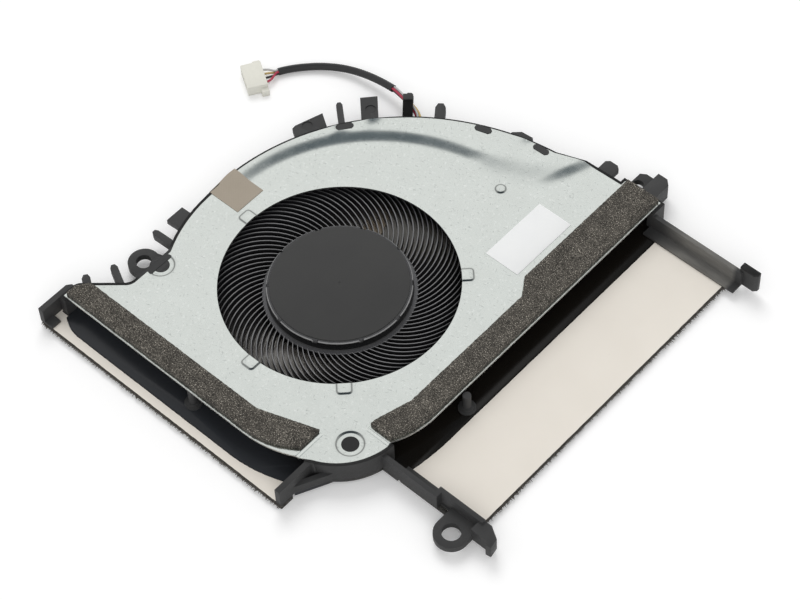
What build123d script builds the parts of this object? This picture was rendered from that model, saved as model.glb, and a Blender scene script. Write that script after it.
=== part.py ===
# Two-outlet laptop blower: a moulded frame with fin-stack rails, a stamped cover with foam seals,
# an 87-blade rotor on a sleeve bearing, its motor, and the fan lead with its connector.
# Millimetres. The origin is on the rotor axis, on the plane that the fan lies on.
# +X runs along the front outlet towards the side outlet, +Y to the back, +Z out of the inlet.
import os
from math import cos, radians, sin, sqrt, tan

from build123d import *

os.makedirs("parts", exist_ok=True)

# Heights of the sheets and layers
seal_foam_height = 1.4
film_thickness = 0.1
floor_thickness = 0.8
channel_height = 4.6
sheet_thickness = 0.4
emboss_height = 0.4
cover_foam_height = 1.2
sticker_thickness = 0.1
tape_thickness = 0.12

# Plan of the housing
inlet_radius = 25.0
volute_start = 36.0
volute_opening = 0.052
volute_quickening = 0.00135
volute_turn = 102
side_lip_x = 36.8
front_lip_y = -39.2
back_corner_y = 58.2
tongue_wall_x = -31.8
left_post_x = -40.2
floor_reach = 3.05
wall_thickness = 1.6
wall_lip = 0.65

# Where the outline bends, with the middle of each arc measured from its start or end
side_bend_y = -12.0
side_bow = (0.7, 5.2)
front_bend_x = 10.75
front_bow = (6.6, 1.2)
nose_setback = 2.6
nose_start_y = -21.9
nose_tip = (31.7, -29.5)
nose_end_x = 25.0
nose_height = 4.3
post_height = 3.7
tongue_height = 11.0
tongue_fillet = 2.5
tongue_middle = 194
volute_spans = 6
back_step_x = 27.4
back_bend_x = 17.8
back_step = 1.3
back_rise = 0.3
apron_inside_x = 28.0
apron_inside_y = -33.0
apron_bend_y = -10.0
apron_bend_x = 9.5
side_apron_turn = 1.6
side_apron_bow = (0.35, 8.0)
front_apron_turn = 3.4
front_apron_bow = (7.0, 0.75)
front_apron_left = (6.6, 1.9)
front_apron_left_bow = (2.6, 0.55)
corner_drop = 3.0
outside = 80.0

# Raised rim and pads of the cover
rim_width = 6.6
rim_start_turn = 15
step_width = 2.8
rim_end_turn = 110.0
rim_end_lead = 4.1
rim_spans = 5
rim_end_x = 17.6
pad_slope = 0.35
pad_back_x = 27.8
pad_side_x = 30.6
pad_front_x = 28.2
pad_bend_y = (25.0, 20.8, -12.5)
pad_end_y = -22.4
pad_corner = 1.2
front_pad_y = -33.3
front_pad_bend_x = 9.25
front_pad_knee = (20.6, 3.9)
front_pad_end = (22.8, 4.4)

# Blocks and openings of the two outlets
left_block_x = -42.6
left_block_bevel = (0.8, 1.0)
left_step_y = -38.6
left_back_y = -35.6
left_drop = 0.4
left_ledge_width = 2.4
block_ledge = 3.4
block_overhang = 0.2
block_back_y = -33.5
right_block_x = 24.1
front_open_y = -36.5
front_open_bend_x = 10.0
side_open_x = 31.0

# Rails that hold the fin stack at the side outlet
rail_thickness = 1.0
bay_front_y = -24.0
bay_back_y = 55.15
rail_start_x = 32.0
rail_end_x = 59.0
back_rail_end_x = 60.2
ledge_width = 2.35
ledge_thickness = 0.6
side_film_x = 57.4
front_film_y = -44.2
seal_gap = 0.15
seal_inset = 0.2
front_seal_end = 0.1
front_seal_step_y = -41.0
front_seal_back_y = -36.0

# Skirt, rail and block details
rail_drop = 0.5
skirt_top = 3.7
skirt_wall = 1.1
skirt_slant = 0.4
skirt_front_y = -40.6
skirt_bend = (28.5, -34.4)
skirt_back_x = 32.8
block_thickness = 1.3
step_x = 47.6
step_in = 1.4

# Hook and clip at the rails' ends, from the end of the rail
back_hook = [(0.4, -0.3), (3.9, -0.3), (4.6, 0.4), (4.6, 1.1), (0.4, 1.1)]
front_clip = [(-1.0, 1.4), (1.6, 1.4), (4.2, -0.2), (4.6, -2.4), (3.4, -2.6), (2.8, -1.8), (-1.0, -1.8)]
front_clip_drop = 0.6

# Tabs on the wall: degrees turned, and points along and out from the wall's face
wall_tabs = (
    (38.0, [(3.7, 6.4), (-2.6, 4.1), (-3.3, 3.4), (-2.9, -0.8), (4.4, -0.8)]),
    (55.0, [(1.0, 8.3), (-2.7, 7.5), (-1.2, -0.8), (2.5, -0.8)]),
    (93.0, [(-3.1, 1.0), (-1.6, 2.5), (1.2, 2.9), (2.8, 1.4), (2.6, -0.8), (-3.0, -0.8)]),
    (-13.0, [(-1.5, 4.7), (-2.4, -0.8), (2.0, -0.8), (2.9, 3.7)]),
)
tab_marks = ((38.0, (0.0, 3.6)), (55.0, (0.0, 4.5)))
mark_radius = 1.2
mark_depth = 0.2
tab_low = 3.3
tab_top = 4.6
back_tab_x = 19.9
back_tab_width = 3.6
back_tab_length = 4.8
back_tab_bevel = (0.8, 0.7)
back_foot = (1.1, 2.1)
back_foot_reach = 1.2

# Cable fingers: degrees turned, or the share of the slanted wall, then where they reach and their width
wall_fingers = (
    (47.5, (0.4, -0.8), (-0.5, 7.0), 1.4),
    (73.6, (0.2, -0.8), (-1.8, 4.4), 2.3),
    (-24.0, (0.2, -0.8), (2.6, 5.2), 1.5),
)
slant_fingers = ((0.17, (-5.8, 2.9), 1.6), (0.82, (-2.8, 2.0), 1.8))
finger_low = 2.8

# Clip that holds the wires at the wall
clip_turn = 64.0
clip_root = (1.5, -0.8)
clip_tip = (-0.1, 4.7)
clip_end = (-0.9, 9.1)
clip_width = 1.8
clip_lip_radius = 0.6
clip_low = 2.0
clip_shelf = 0.9
clip_height = 3.4

# Mounting ears
ear_thickness = 1.5
left_ear = (-36.4, -20.7)
left_ear_hole = 1.7
left_ear_radius = 3.4
left_web = 2.4
left_web_root = 4.6
front_ear = (54.8, -27.8)
front_ear_hole = 1.95
front_ear_radius = 3.6
back_ear = (28.4, 61.5)
back_ear_hole = 1.25
back_rib_x = 2.6
back_plate_top = [(-1.6, 2.6), (-0.4, 3.4)]
back_rib_top = [(5.0, 3.4), (6.2, 2.2)]

# Stakes that hold the cover
front_stake = (28.2, -27.25)
left_stake = (-30.9, -20.6)
stake_radius = 1.75
stake_head = 0.05
dish_radius = 3.1
dish_depth = 0.15
bar_length = 3.8
bar_width = 1.5
bar_turns = (48.7, 85.3, 99.5)
bar_margin = -0.8
bar_slant = 12
bar_bevel = 0.5
bar_head = 0.3
stake_clearance = 0.05
stake_boss = 2.5
side_post = (37.7, -3.7)
front_post = (-4.4, -38.4)
post_radius = 0.9
post_step = 0.5
post_sides = 12

# Rotor
blade_count = 87
blade_thickness = 0.34
blade_root_radius = 16.2
blade_tip_radius = 27.8
blade_start = -54.25
blade_sweep = 40.35
blade_bow = 3.53
blade_sides = 3
blade_bottom_gap = 0.8
blade_root_drop = 2.5
blade_rise = (0.11, -0.055)
hub_wall = 0.6
hub_flange = 1.65
rim_drop = 0.25
rim_bevel = 0.3
rim_notches = 10
notch_start = 4
notch_width = 0.5
notch_depth = 0.6
disc_radius = 14.45
disc_drop = 0.1
disc_thickness = 0.5
centre_mark_radius = 0.3
centre_mark_depth = 0.1
shaft_cover = 0.2
skirt_thickness = 0.5
skirt_lift = 1.4

# Motor
shaft_radius = 0.77
bearing_clearance = 0.03
bearing_radius = 2.0
tube_radius = 3.0
tube_height = 3.1
seat_thickness = 0.35
seat_radius = 12.0
pad_thickness = 0.3
pad_clearance = 0.05
magnet_thickness = 1.2
magnet_height = 2.4
magnet_lift = 0.2
boss_radius = 1.6
boss_depth = 0.7
air_gap = 0.4
core_height = 1.4
core_lift = 1.8
teeth = 9
tooth_width = 1.5
tooth_root = 1.0
tooth_tip_depth = 1.2
tooth_tip_width = 7.0
core_ring = 2.4
coil_build = 0.6
coil_gap = 0.25
board_thickness = 0.3
board_radius = 11.0
tail_width = 4.2
tail_end = 43.4
tail_angle = 111.5
chip_size = 3.0
chip_height = 0.5
wire_slot_low = 2.0
wire_slot_height = 2.6
wire_slot_width = 2.8
board_clearance = 0.2
chip_place = 7.4
chip_angle = 20
solder_length = 0.6

# Things stuck to or pressed into the cover
bump_angles = (45, 180, 270, 315)
bump_width = 3.4
bump_length = 2.6
bump_height = 0.2
dimple = (9.0, 39.8)
dimple_radius = 1.25
label_centre = (22.0, 33.5)
label_size = (8.5, 17.0)
tape_inner_x = -28.5
tape_span = (-0.5, 7.2)
tape_fold = 2.1
foam_inset = 0.2
foam_margin = 0.4
side_foam_end = 0.7
side_foam_corner = 1.6
front_foam_bow = (17.2, 1.3)
front_foam_end = (0.8, 4.2)
front_foam_bevel = (2.4, 2.6)

# Lead and connector
wire_diameter = 0.5
wire_spread = 0.3
wire_pitch = 1.1
wire_lead_in = 0.9
arc_share = 0.45
cord_sides = 6
wire_names = ("wire_red", "wire_black", "wire_yellow", "wire_grey")
sleeve_diameter = 1.7
connector_pitch = 1.25
connector_length = 4.6
connector_width = 7.0
connector_height = 2.6
wing_width = 9.4
wing_length = 1.7
wing_height = 1.6
cavity_width = 0.9
cavity_height = 1.2
terminal_inset = 0.5
terminal_width = 0.7
connector_back = (-53.8, 33.3)
connector_angle = 238

# Levels worked out from the heights
film_top = seal_foam_height + film_thickness
floor_top = film_top
floor_bottom = floor_top - floor_thickness
cover_bottom = floor_top + channel_height
cover_top = cover_bottom + sheet_thickness
rim_bottom = cover_bottom + emboss_height
rim_top = cover_top + emboss_height
stake_top = cover_top - dish_depth + stake_head
bar_top = rim_top + bar_head
disc_top = cover_top - disc_drop
rail_outer_front = bay_front_y - rail_thickness
rail_outer_back = bay_back_y + rail_thickness
floor_edge_x = side_lip_x + floor_reach
floor_edge_y = front_lip_y - floor_reach
back_edge_y = back_corner_y - back_step


def polar(radius, angle):
    return (radius * cos(radians(angle)), radius * sin(radians(angle)))


def volute(turn, margin=0.0):
    # A point on the volute edge, by the degrees turned clockwise from the tongue on the left
    radius = volute_start + volute_opening * turn + volute_quickening * turn**2
    return polar(radius + margin, 180 - turn)


def level_plane(level):
    return Plane.XY.offset(level)


def wall_plane(turn, level):
    # A level plane on the volute wall's outer face: x along the wall, clockwise, and y outwards
    return Plane(origin=(*volute(turn, wall_lip), level), x_dir=(*polar(1, 90 - turn), 0), z_dir=(0, 0, 1))


def plate(points, plane):
    # A polygon lying on a plane
    with BuildSketch(plane) as face:
        with BuildLine():
            Polyline(*points, close=True)
        make_face()
    return face.sketch


def finger(root, tip, width, plane):
    # A straight finger with a bevelled tip, lying on a plane
    along = Vector(*tip) - Vector(*root)
    ahead = along.normalized() * (width / 2)
    across = Vector(-ahead.Y, ahead.X)
    start = Vector(*root)
    end = Vector(*tip)
    corners = (
        start + across,
        end + across,
        end + ahead + across / 2,
        end + ahead - across / 2,
        end - across,
        start - across,
    )
    return plate([(corner.X, corner.Y) for corner in corners], plane)


def outline(grow, level):
    # The housing's outline, clockwise from the back corner of the side outlet, grown by a margin
    side = side_lip_x + grow
    front = front_lip_y - grow
    back = back_corner_y + grow
    post = left_post_x - grow
    tongue = tongue_wall_x - grow
    start = volute_start + grow
    slope = (tongue_height - post_height) / (tongue_wall_x - left_post_x)
    lift = grow * (sqrt(1 + slope**2) - slope)
    tongue_y = -sqrt(start**2 - tongue**2)
    nose_1 = (side - nose_setback, nose_start_y)
    diagonal = grow * sqrt(0.5)
    nose_2 = (nose_tip[0] + diagonal, nose_tip[1] - diagonal)
    nose_3 = (nose_end_x, front + nose_height)
    with BuildSketch(Plane.XY.offset(level)) as face:
        with BuildLine():
            Line((side, back), (side, side_bend_y))
            ThreePointArc((side, side_bend_y), (side - side_bow[0], side_bend_y - side_bow[1]), nose_1)
            ThreePointArc(nose_1, nose_2, nose_3)
            ThreePointArc(nose_3, (nose_end_x - front_bow[0], front + front_bow[1]), (front_bend_x, front))
            Line((front_bend_x, front), (post, front))
            FilletPolyline(
                (post, front),
                (post, front_lip_y + post_height + lift),
                (tongue, front_lip_y + tongue_height + lift),
                (tongue, tongue_y),
                radius=tongue_fillet,
            )
            ThreePointArc((tongue, tongue_y), polar(start, tongue_middle), (-start, 0))
            Spline(*[volute(volute_turn * step / volute_spans, grow) for step in range(volute_spans + 1)])
            Polyline(
                volute(volute_turn, grow),
                (back_bend_x, back_edge_y - back_rise + grow),
                (back_step_x - grow, back_edge_y + grow),
                (back_step_x - grow, back),
                (side, back),
            )
        make_face()
    return face.sketch


def side_apron(grow, level):
    # The floor in front of the side outlet, with its rounded front end
    edge = floor_edge_x + grow
    front = rail_outer_front
    bow = (edge - side_apron_bow[0], apron_bend_y - side_apron_bow[1])
    with BuildSketch(Plane.XY.offset(level)) as face:
        with BuildLine():
            Polyline((apron_inside_x, bay_back_y), (edge, bay_back_y), (edge, apron_bend_y))
            ThreePointArc((edge, apron_bend_y), bow, (edge - side_apron_turn, front))
            Polyline((edge - side_apron_turn, front), (apron_inside_x, front), (apron_inside_x, bay_back_y))
        make_face()
    return face.sketch


def front_apron(grow, level):
    # The floor in front of the front outlet, rounded at both ends
    edge = floor_edge_y - grow
    left_end = left_block_x + block_ledge
    left_start = (left_end, edge + front_apron_left[1])
    left_bow = (left_end + front_apron_left_bow[0], edge + front_apron_left_bow[1])
    straight_x = left_end + front_apron_left[0]
    right_bow = (apron_bend_x + front_apron_bow[0], edge + front_apron_bow[1])
    right_end_y = edge + front_apron_turn
    with BuildSketch(Plane.XY.offset(level)) as face:
        with BuildLine():
            Line((left_end, apron_inside_y), left_start)
            ThreePointArc(left_start, left_bow, (straight_x, edge))
            Line((straight_x, edge), (apron_bend_x, edge))
            ThreePointArc((apron_bend_x, edge), right_bow, (right_block_x, right_end_y))
            Polyline(
                (right_block_x, right_end_y),
                (right_block_x + block_thickness, right_end_y),
                (right_block_x + block_thickness, apron_inside_y),
                (left_end, apron_inside_y),
            )
        make_face()
    return face.sketch


def pocket_face(widen, level):
    # The cover's low middle: bounded by the volute step, the side pad and the front pad
    step = step_width * widen
    pad = pad_slope * widen
    rim_sweep = rim_end_turn - rim_end_lead * widen - rim_start_turn
    turns = [rim_start_turn + rim_sweep * span / rim_spans for span in range(rim_spans + 1)]
    rim = [volute(turn, step - rim_width) for turn in turns]
    with BuildSketch(Plane.XY.offset(level)) as face:
        with BuildLine():
            Line((-outside, rim[0][1]), rim[0])
            Spline(*rim)
            Polyline(
                rim[-1],
                (rim_end_x - step, outside),
                (pad_back_x + pad, outside),
                (pad_back_x + pad, pad_bend_y[0]),
                (pad_side_x + pad, pad_bend_y[1]),
                (pad_side_x + pad, pad_bend_y[2]),
                (pad_front_x + pad, pad_end_y + pad_corner),
                (pad_front_x + pad, pad_end_y + pad),
                (outside, pad_end_y + pad),
                (outside, -outside),
                (front_pad_end[0] - pad, -outside),
                (front_pad_end[0] - pad, front_pad_y + front_pad_end[1] - pad),
                (front_pad_knee[0] - pad, front_pad_y + front_pad_knee[1] - pad),
                (front_pad_bend_x, front_pad_y - pad),
                (-outside, front_pad_y - pad),
                (-outside, rim[0][1]),
            )
        make_face()
    return face.sketch.face()


def save(builder, name):
    builder.part.label = name
    export_step(builder.part, f"parts/{name}.step")


def stake_bar(turn, grow, level):
    # An oblong stake with bevelled corners, lying along the volute edge
    along = bar_length / 2 + grow
    across = bar_width / 2 + grow
    quarter = [(along, across - bar_bevel), (along - bar_bevel, across)]
    right = [*[(x, -y) for x, y in reversed(quarter)], *quarter]
    points = [*right, *[(-x, y) for x, y in reversed(right)]]
    direction = polar(1, 270 - turn + bar_slant)
    centre = (*volute(turn, bar_margin), level)
    return plate(points, Plane(origin=centre, x_dir=(*direction, 0), z_dir=(0, 0, 1)))


# Stamped cover: a sheet whose rim and outlet pads stand above its middle
with BuildPart() as low_middle:
    loft([pocket_face(0, cover_top), pocket_face(1, rim_top)], ruled=True)

with BuildPart() as high_edges:
    extrude(outline(0, cover_bottom), amount=emboss_height)
    loft([pocket_face(0, cover_bottom), pocket_face(1, rim_bottom)], ruled=True, mode=Mode.SUBTRACT)

with BuildPart() as top_cover:
    extrude(outline(0, cover_bottom), amount=rim_top - cover_bottom)
    add(low_middle.part, mode=Mode.SUBTRACT)
    add(high_edges.part, mode=Mode.SUBTRACT)
    with BuildSketch(Plane.XY.offset(cover_top)):
        for angle in bump_angles:
            with Locations(Location(polar(inlet_radius, angle), angle)):
                SlotOverall(2 * bump_length, bump_width)
        with Locations(dimple):
            Circle(dimple_radius)
    extrude(amount=bump_height)
    with BuildSketch(Plane.XY.offset(cover_top)):
        with Locations(front_stake, left_stake):
            Circle(dish_radius)
    extrude(amount=-dish_depth, mode=Mode.SUBTRACT)
    with BuildSketch(Plane.XY.offset(cover_bottom)):
        Circle(inlet_radius)
        with Locations(front_stake, left_stake):
            Circle(stake_radius + stake_clearance)
    extrude(amount=rim_top, mode=Mode.SUBTRACT)
    for turn in bar_turns:
        extrude(stake_bar(turn, stake_clearance, cover_bottom), amount=rim_top, mode=Mode.SUBTRACT)
save(top_cover, "top_cover")

# Moulded frame: floor, volute wall, outlet ends, rails, ears, fingers and cover stakes
rail_top = cover_bottom - rail_drop
right_block_end = right_block_x + block_thickness
skirt_band = [(right_block_end, skirt_front_y), skirt_bend, (skirt_back_x, rail_outer_front)]

with BuildPart() as base_frame:
    # Floor with its two aprons, the corner between them and the bearing seat below
    extrude(outline(wall_lip, floor_bottom), amount=floor_thickness)
    extrude(side_apron(0, floor_bottom), amount=floor_thickness)
    extrude(front_apron(0, floor_bottom), amount=floor_thickness)
    corner = [
        (right_block_x, apron_inside_y - corner_drop),
        *skirt_band,
        (nose_tip[0], nose_start_y),
        (right_block_x, apron_inside_y),
    ]
    extrude(plate(corner, level_plane(floor_bottom)), amount=floor_thickness)
    Cylinder(seat_radius, floor_bottom, align=(Align.CENTER, Align.CENTER, Align.MIN))

    # Volute wall, open at both outlets
    with BuildSketch(Plane.XY.offset(floor_top)):
        add(outline(wall_lip, 0))
        add(outline(wall_lip - wall_thickness, 0), mode=Mode.SUBTRACT)
        post_inside_x = left_post_x + wall_thickness - wall_lip
        front_open = [
            (post_inside_x, -outside),
            (right_block_x, -outside),
            (right_block_x, apron_inside_y),
            (front_open_bend_x, front_open_y),
            (post_inside_x, front_open_y),
        ]
        add(plate(front_open, level_plane(0)), mode=Mode.SUBTRACT)
        side_open = [
            (side_open_x, nose_start_y),
            (outside, nose_start_y),
            (outside, bay_back_y),
            (side_open_x, bay_back_y),
        ]
        add(plate(side_open, level_plane(0)), mode=Mode.SUBTRACT)
    extrude(amount=rim_bottom - floor_top)
    add(top_cover.part, mode=Mode.SUBTRACT)

    # Stakes and their bosses, and the stepped posts in the outlets
    with BuildSketch(Plane.XY.offset(floor_top)):
        with Locations(front_stake, left_stake):
            Circle(stake_boss)
    extrude(amount=channel_height)
    with BuildSketch(Plane.XY.offset(floor_top)):
        with Locations(front_stake, left_stake):
            Circle(stake_radius)
    extrude(amount=stake_top - floor_top)
    for turn in bar_turns:
        extrude(stake_bar(turn, 0, floor_top), amount=bar_top - floor_top)
    for centre, top in ((side_post, cover_bottom), (front_post, rim_bottom)):
        with BuildSketch(Plane.XY.offset(floor_top)):
            with Locations(centre):
                RegularPolygon(post_radius + 2 * post_step, post_sides)
        extrude(amount=post_step)
        with BuildSketch(Plane.XY.offset(floor_top)):
            with Locations(centre):
                RegularPolygon(post_radius + post_step, post_sides)
        extrude(amount=2 * post_step)
        with BuildSketch(Plane.XY.offset(floor_top)):
            with Locations(centre):
                RegularPolygon(post_radius, post_sides)
        extrude(amount=top - floor_top)
    add(top_cover.part, mode=Mode.SUBTRACT)

    # Blocks at the two ends of the front outlet and the curved skirt between the outlets
    block_end = front_film_y - block_overhang
    right_wall = [
        (right_block_x, block_end),
        (right_block_end, block_end),
        (right_block_end, block_back_y),
        (right_block_x, block_back_y),
    ]
    extrude(plate(right_wall, level_plane(floor_top)), amount=channel_height)
    inner_band = [(x - skirt_wall, y + skirt_slant) for x, y in skirt_band]
    extrude(plate([*skirt_band, *reversed(inner_band)], level_plane(floor_top)), amount=skirt_top - floor_top)
    left_wall = [
        (left_block_x, block_end),
        (left_block_x + block_thickness, block_end),
        (left_block_x + block_thickness, left_step_y),
        (left_post_x, left_step_y),
        (left_post_x, left_back_y),
        (left_block_x + left_block_bevel[0], left_back_y),
        (left_block_x, left_back_y - left_block_bevel[1]),
    ]
    extrude(plate(left_wall, level_plane(floor_top)), amount=channel_height - left_drop)
    left_ledge = [
        (left_block_x, block_end),
        (left_block_x + block_ledge, block_end),
        (left_block_x + block_ledge, block_end + left_ledge_width),
        (left_block_x, block_end + left_ledge_width),
    ]
    extrude(plate(left_ledge, level_plane(floor_top)), amount=ledge_thickness)

    # Back rail with its ledge and end hook
    back_wall = [
        (side_lip_x, bay_back_y),
        (back_rail_end_x, bay_back_y),
        (back_rail_end_x, rail_outer_back),
        (side_lip_x, rail_outer_back),
    ]
    extrude(plate(back_wall, level_plane(floor_top)), amount=rail_top - floor_top)
    back_ledge = [
        (side_lip_x, bay_back_y - ledge_width),
        (back_rail_end_x, bay_back_y - ledge_width),
        (back_rail_end_x, bay_back_y),
        (side_lip_x, bay_back_y),
    ]
    extrude(plate(back_ledge, level_plane(floor_top)), amount=ledge_thickness)
    hook = [(rail_end_x + x, rail_outer_back + y) for x, y in back_hook]
    extrude(plate(hook, level_plane(floor_top)), amount=rim_top - floor_top)

    # Front rail, stepped inwards behind the ear, with its ledge and end clip
    front_wall = [
        (rail_start_x, rail_outer_front),
        (step_x + rail_thickness, rail_outer_front),
        (step_x + rail_thickness, bay_front_y + step_in - rail_thickness),
        (rail_end_x, bay_front_y + step_in - rail_thickness),
        (rail_end_x, bay_front_y + step_in),
        (step_x, bay_front_y + step_in),
        (step_x, bay_front_y),
        (rail_start_x, bay_front_y),
    ]
    extrude(plate(front_wall, level_plane(floor_top)), amount=rail_top - floor_top)
    front_ledge = [
        (floor_edge_x - side_apron_turn, bay_front_y),
        (rail_end_x, bay_front_y),
        (rail_end_x, bay_front_y + ledge_width),
        (floor_edge_x - side_apron_turn, bay_front_y + ledge_width),
    ]
    extrude(plate(front_ledge, level_plane(floor_top)), amount=ledge_thickness)
    clip = [(rail_end_x + x, bay_front_y + y) for x, y in front_clip]
    extrude(plate(clip, level_plane(floor_top)), amount=rail_top - floor_top - front_clip_drop)

    # Mounting ears
    left_arm = [
        (left_ear[0] - left_web, left_ear[1] + left_web),
        (tongue_wall_x, left_ear[1] + left_web_root),
        (tongue_wall_x, left_ear[1] - left_web_root),
        (left_ear[0] - left_web, left_ear[1] - left_web),
    ]
    extrude(plate(left_arm, level_plane(floor_top)), amount=ear_thickness)
    front_arm = [
        (front_ear[0] - front_ear_radius, front_ear[1]),
        (front_ear[0] - front_ear_radius, bay_front_y + step_in - rail_thickness),
        (front_ear[0] + front_ear_radius, bay_front_y + step_in - rail_thickness),
        (front_ear[0] + front_ear_radius, front_ear[1]),
    ]
    extrude(plate(front_arm, level_plane(floor_top)), amount=ear_thickness)
    rib_end = [(back_ear[0] + x, back_ear[1] + y) for x, y in back_rib_top]
    rib_foot = (rib_end[-1][0], back_edge_y)
    plate_end = [(back_ear[0] + x, back_ear[1] + y) for x, y in back_plate_top]
    back_plate = [(plate_end[0][0], back_edge_y), *plate_end, *rib_end, rib_foot]
    extrude(plate(back_plate, level_plane(floor_top)), amount=ear_thickness)
    rib_x = back_ear[0] + back_rib_x
    back_rib = [(rib_x, back_edge_y), (rib_x, rib_end[0][1]), *rib_end, rib_foot]
    extrude(plate(back_rib, level_plane(floor_top)), amount=rail_top - floor_top)
    with BuildSketch(Plane.XY.offset(floor_top)):
        with Locations(left_ear):
            Circle(left_ear_radius)
        with Locations(front_ear):
            Circle(front_ear_radius)
    extrude(amount=ear_thickness)
    for centre, radius in ((left_ear, left_ear_hole), (front_ear, front_ear_hole), (back_ear, back_ear_hole)):
        with BuildSketch(Plane.XY.offset(floor_top)):
            with Locations(centre):
                Circle(radius)
        extrude(amount=ear_thickness, mode=Mode.SUBTRACT)

    # Flat tabs along the volute wall, two of them with a pin mark
    for turn, points in wall_tabs:
        extrude(plate(points, wall_plane(turn, tab_low)), amount=tab_top - tab_low)
    for turn, place in tab_marks:
        with BuildSketch(wall_plane(turn, tab_top)):
            with Locations(place):
                RegularPolygon(mark_radius, post_sides)
        extrude(amount=-mark_depth, mode=Mode.SUBTRACT)
    back_tab_end_x = back_tab_x + back_tab_width
    back_tab_end_y = back_edge_y + back_tab_length
    back_tab_root_y = back_edge_y - wall_lip
    back_tab = [
        (back_tab_x, back_tab_root_y),
        (back_tab_x, back_tab_end_y - back_tab_bevel[1]),
        (back_tab_x + back_tab_bevel[0], back_tab_end_y),
        (back_tab_end_x - back_tab_bevel[0], back_tab_end_y),
        (back_tab_end_x, back_tab_end_y - back_tab_bevel[1]),
        (back_tab_end_x, back_tab_root_y),
    ]
    extrude(plate(back_tab, level_plane(tab_low)), amount=tab_top - tab_low)
    back_tab_foot = [
        (back_tab_x - back_foot[0], back_tab_root_y),
        (back_tab_x - back_foot[0], back_edge_y + back_foot_reach),
        (back_tab_end_x + back_foot[1], back_edge_y + back_foot_reach),
        (back_tab_end_x + back_foot[1], back_tab_root_y),
    ]
    extrude(plate(back_tab_foot, level_plane(tab_low)), amount=tab_top - tab_low)

    # Cable fingers along the volute wall and on the slanted wall beside the front outlet
    for turn, root, tip, width in wall_fingers:
        extrude(finger(root, tip, width, wall_plane(turn, finger_low)), amount=tab_top - finger_low)
    slant_start = (tongue_wall_x, front_lip_y + tongue_height)
    slant_end = (left_post_x, front_lip_y + post_height)
    for share, reach, width in slant_fingers:
        root_x = slant_start[0] + share * (slant_end[0] - slant_start[0])
        root_y = slant_start[1] + share * (slant_end[1] - slant_start[1])
        tip = (root_x + reach[0], root_y + reach[1])
        extrude(finger((root_x, root_y), tip, width, level_plane(finger_low)), amount=tab_top - finger_low)

    # Cable clip: a shelf under the wires, a post behind them and a lip in front
    clip_plane = wall_plane(clip_turn, clip_low)
    extrude(finger(clip_root, clip_end, clip_width, clip_plane), amount=clip_shelf)
    extrude(finger(clip_root, clip_tip, clip_width, clip_plane), amount=clip_height)
    with BuildSketch(clip_plane):
        with Locations(clip_end):
            RegularPolygon(clip_lip_radius, post_sides)
    extrude(amount=tab_top - clip_low)

    # Slot in the wall for the wires and the well for the bearing
    with BuildSketch(wall_plane(180 - tail_angle, wire_slot_low)):
        Rectangle(wire_slot_width, 3 * wall_thickness)
    extrude(amount=wire_slot_height, mode=Mode.SUBTRACT)
    with BuildSketch(Plane.XY.offset(seat_thickness)):
        Circle(tube_radius)
    extrude(amount=floor_top, mode=Mode.SUBTRACT)
save(base_frame, "base_frame")

# Seals under the outlets: a pale film on dark foam, against the undersides of the rails and blocks
side_strip = [
    (side_lip_x + seal_inset, rail_outer_front + rail_thickness / 2),
    (side_film_x, rail_outer_front + rail_thickness / 2),
    (side_film_x, rail_outer_back - rail_thickness / 2),
    (side_lip_x + seal_inset, rail_outer_back - rail_thickness / 2),
]
front_strip = [
    (left_block_x + seal_inset, front_film_y),
    (right_block_end - front_seal_end, front_film_y),
    (right_block_end - front_seal_end, front_seal_step_y),
    (right_block_x - front_seal_end, front_seal_step_y),
    (right_block_x - front_seal_end, front_seal_back_y),
    (left_block_x + seal_inset, front_seal_back_y),
]
for name, strip, apron in (("side", side_strip, side_apron), ("front", front_strip, front_apron)):
    with BuildPart() as seal_foam:
        extrude(plate(strip, level_plane(0)), amount=seal_foam_height)
        extrude(apron(seal_gap, 0), amount=film_top, mode=Mode.SUBTRACT)
        extrude(outline(wall_lip + seal_gap, 0), amount=film_top, mode=Mode.SUBTRACT)
    save(seal_foam, f"{name}_seal_foam")
    with BuildPart() as seal_film:
        extrude(plate(strip, level_plane(seal_foam_height)), amount=film_thickness)
        extrude(apron(seal_gap, 0), amount=film_top, mode=Mode.SUBTRACT)
        extrude(outline(wall_lip + seal_gap, 0), amount=film_top, mode=Mode.SUBTRACT)
    save(seal_film, f"{name}_seal_film")

# Foam strips on the cover's pads
with BuildPart() as side_cover_foam:
    outer = side_lip_x - foam_inset
    foam_end_y = pad_end_y + side_foam_end
    foam_bow = (outer - side_bow[0], side_bend_y - side_bow[1])
    with BuildSketch(Plane.XY.offset(rim_top)):
        with BuildLine():
            Line((outer, back_corner_y), (outer, side_bend_y))
            ThreePointArc((outer, side_bend_y), foam_bow, (outer - nose_setback, foam_end_y))
            Polyline(
                (outer - nose_setback, foam_end_y),
                (pad_front_x + foam_margin, foam_end_y),
                (pad_front_x + foam_margin, pad_end_y + side_foam_corner),
                (pad_side_x + foam_margin, pad_bend_y[2]),
                (pad_side_x + foam_margin, pad_bend_y[1]),
                (pad_back_x + foam_margin, pad_bend_y[0]),
                (pad_back_x + foam_margin, back_corner_y),
                (outer, back_corner_y),
            )
        make_face()
    extrude(amount=cover_foam_height)
save(side_cover_foam, "side_cover_foam")

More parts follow.
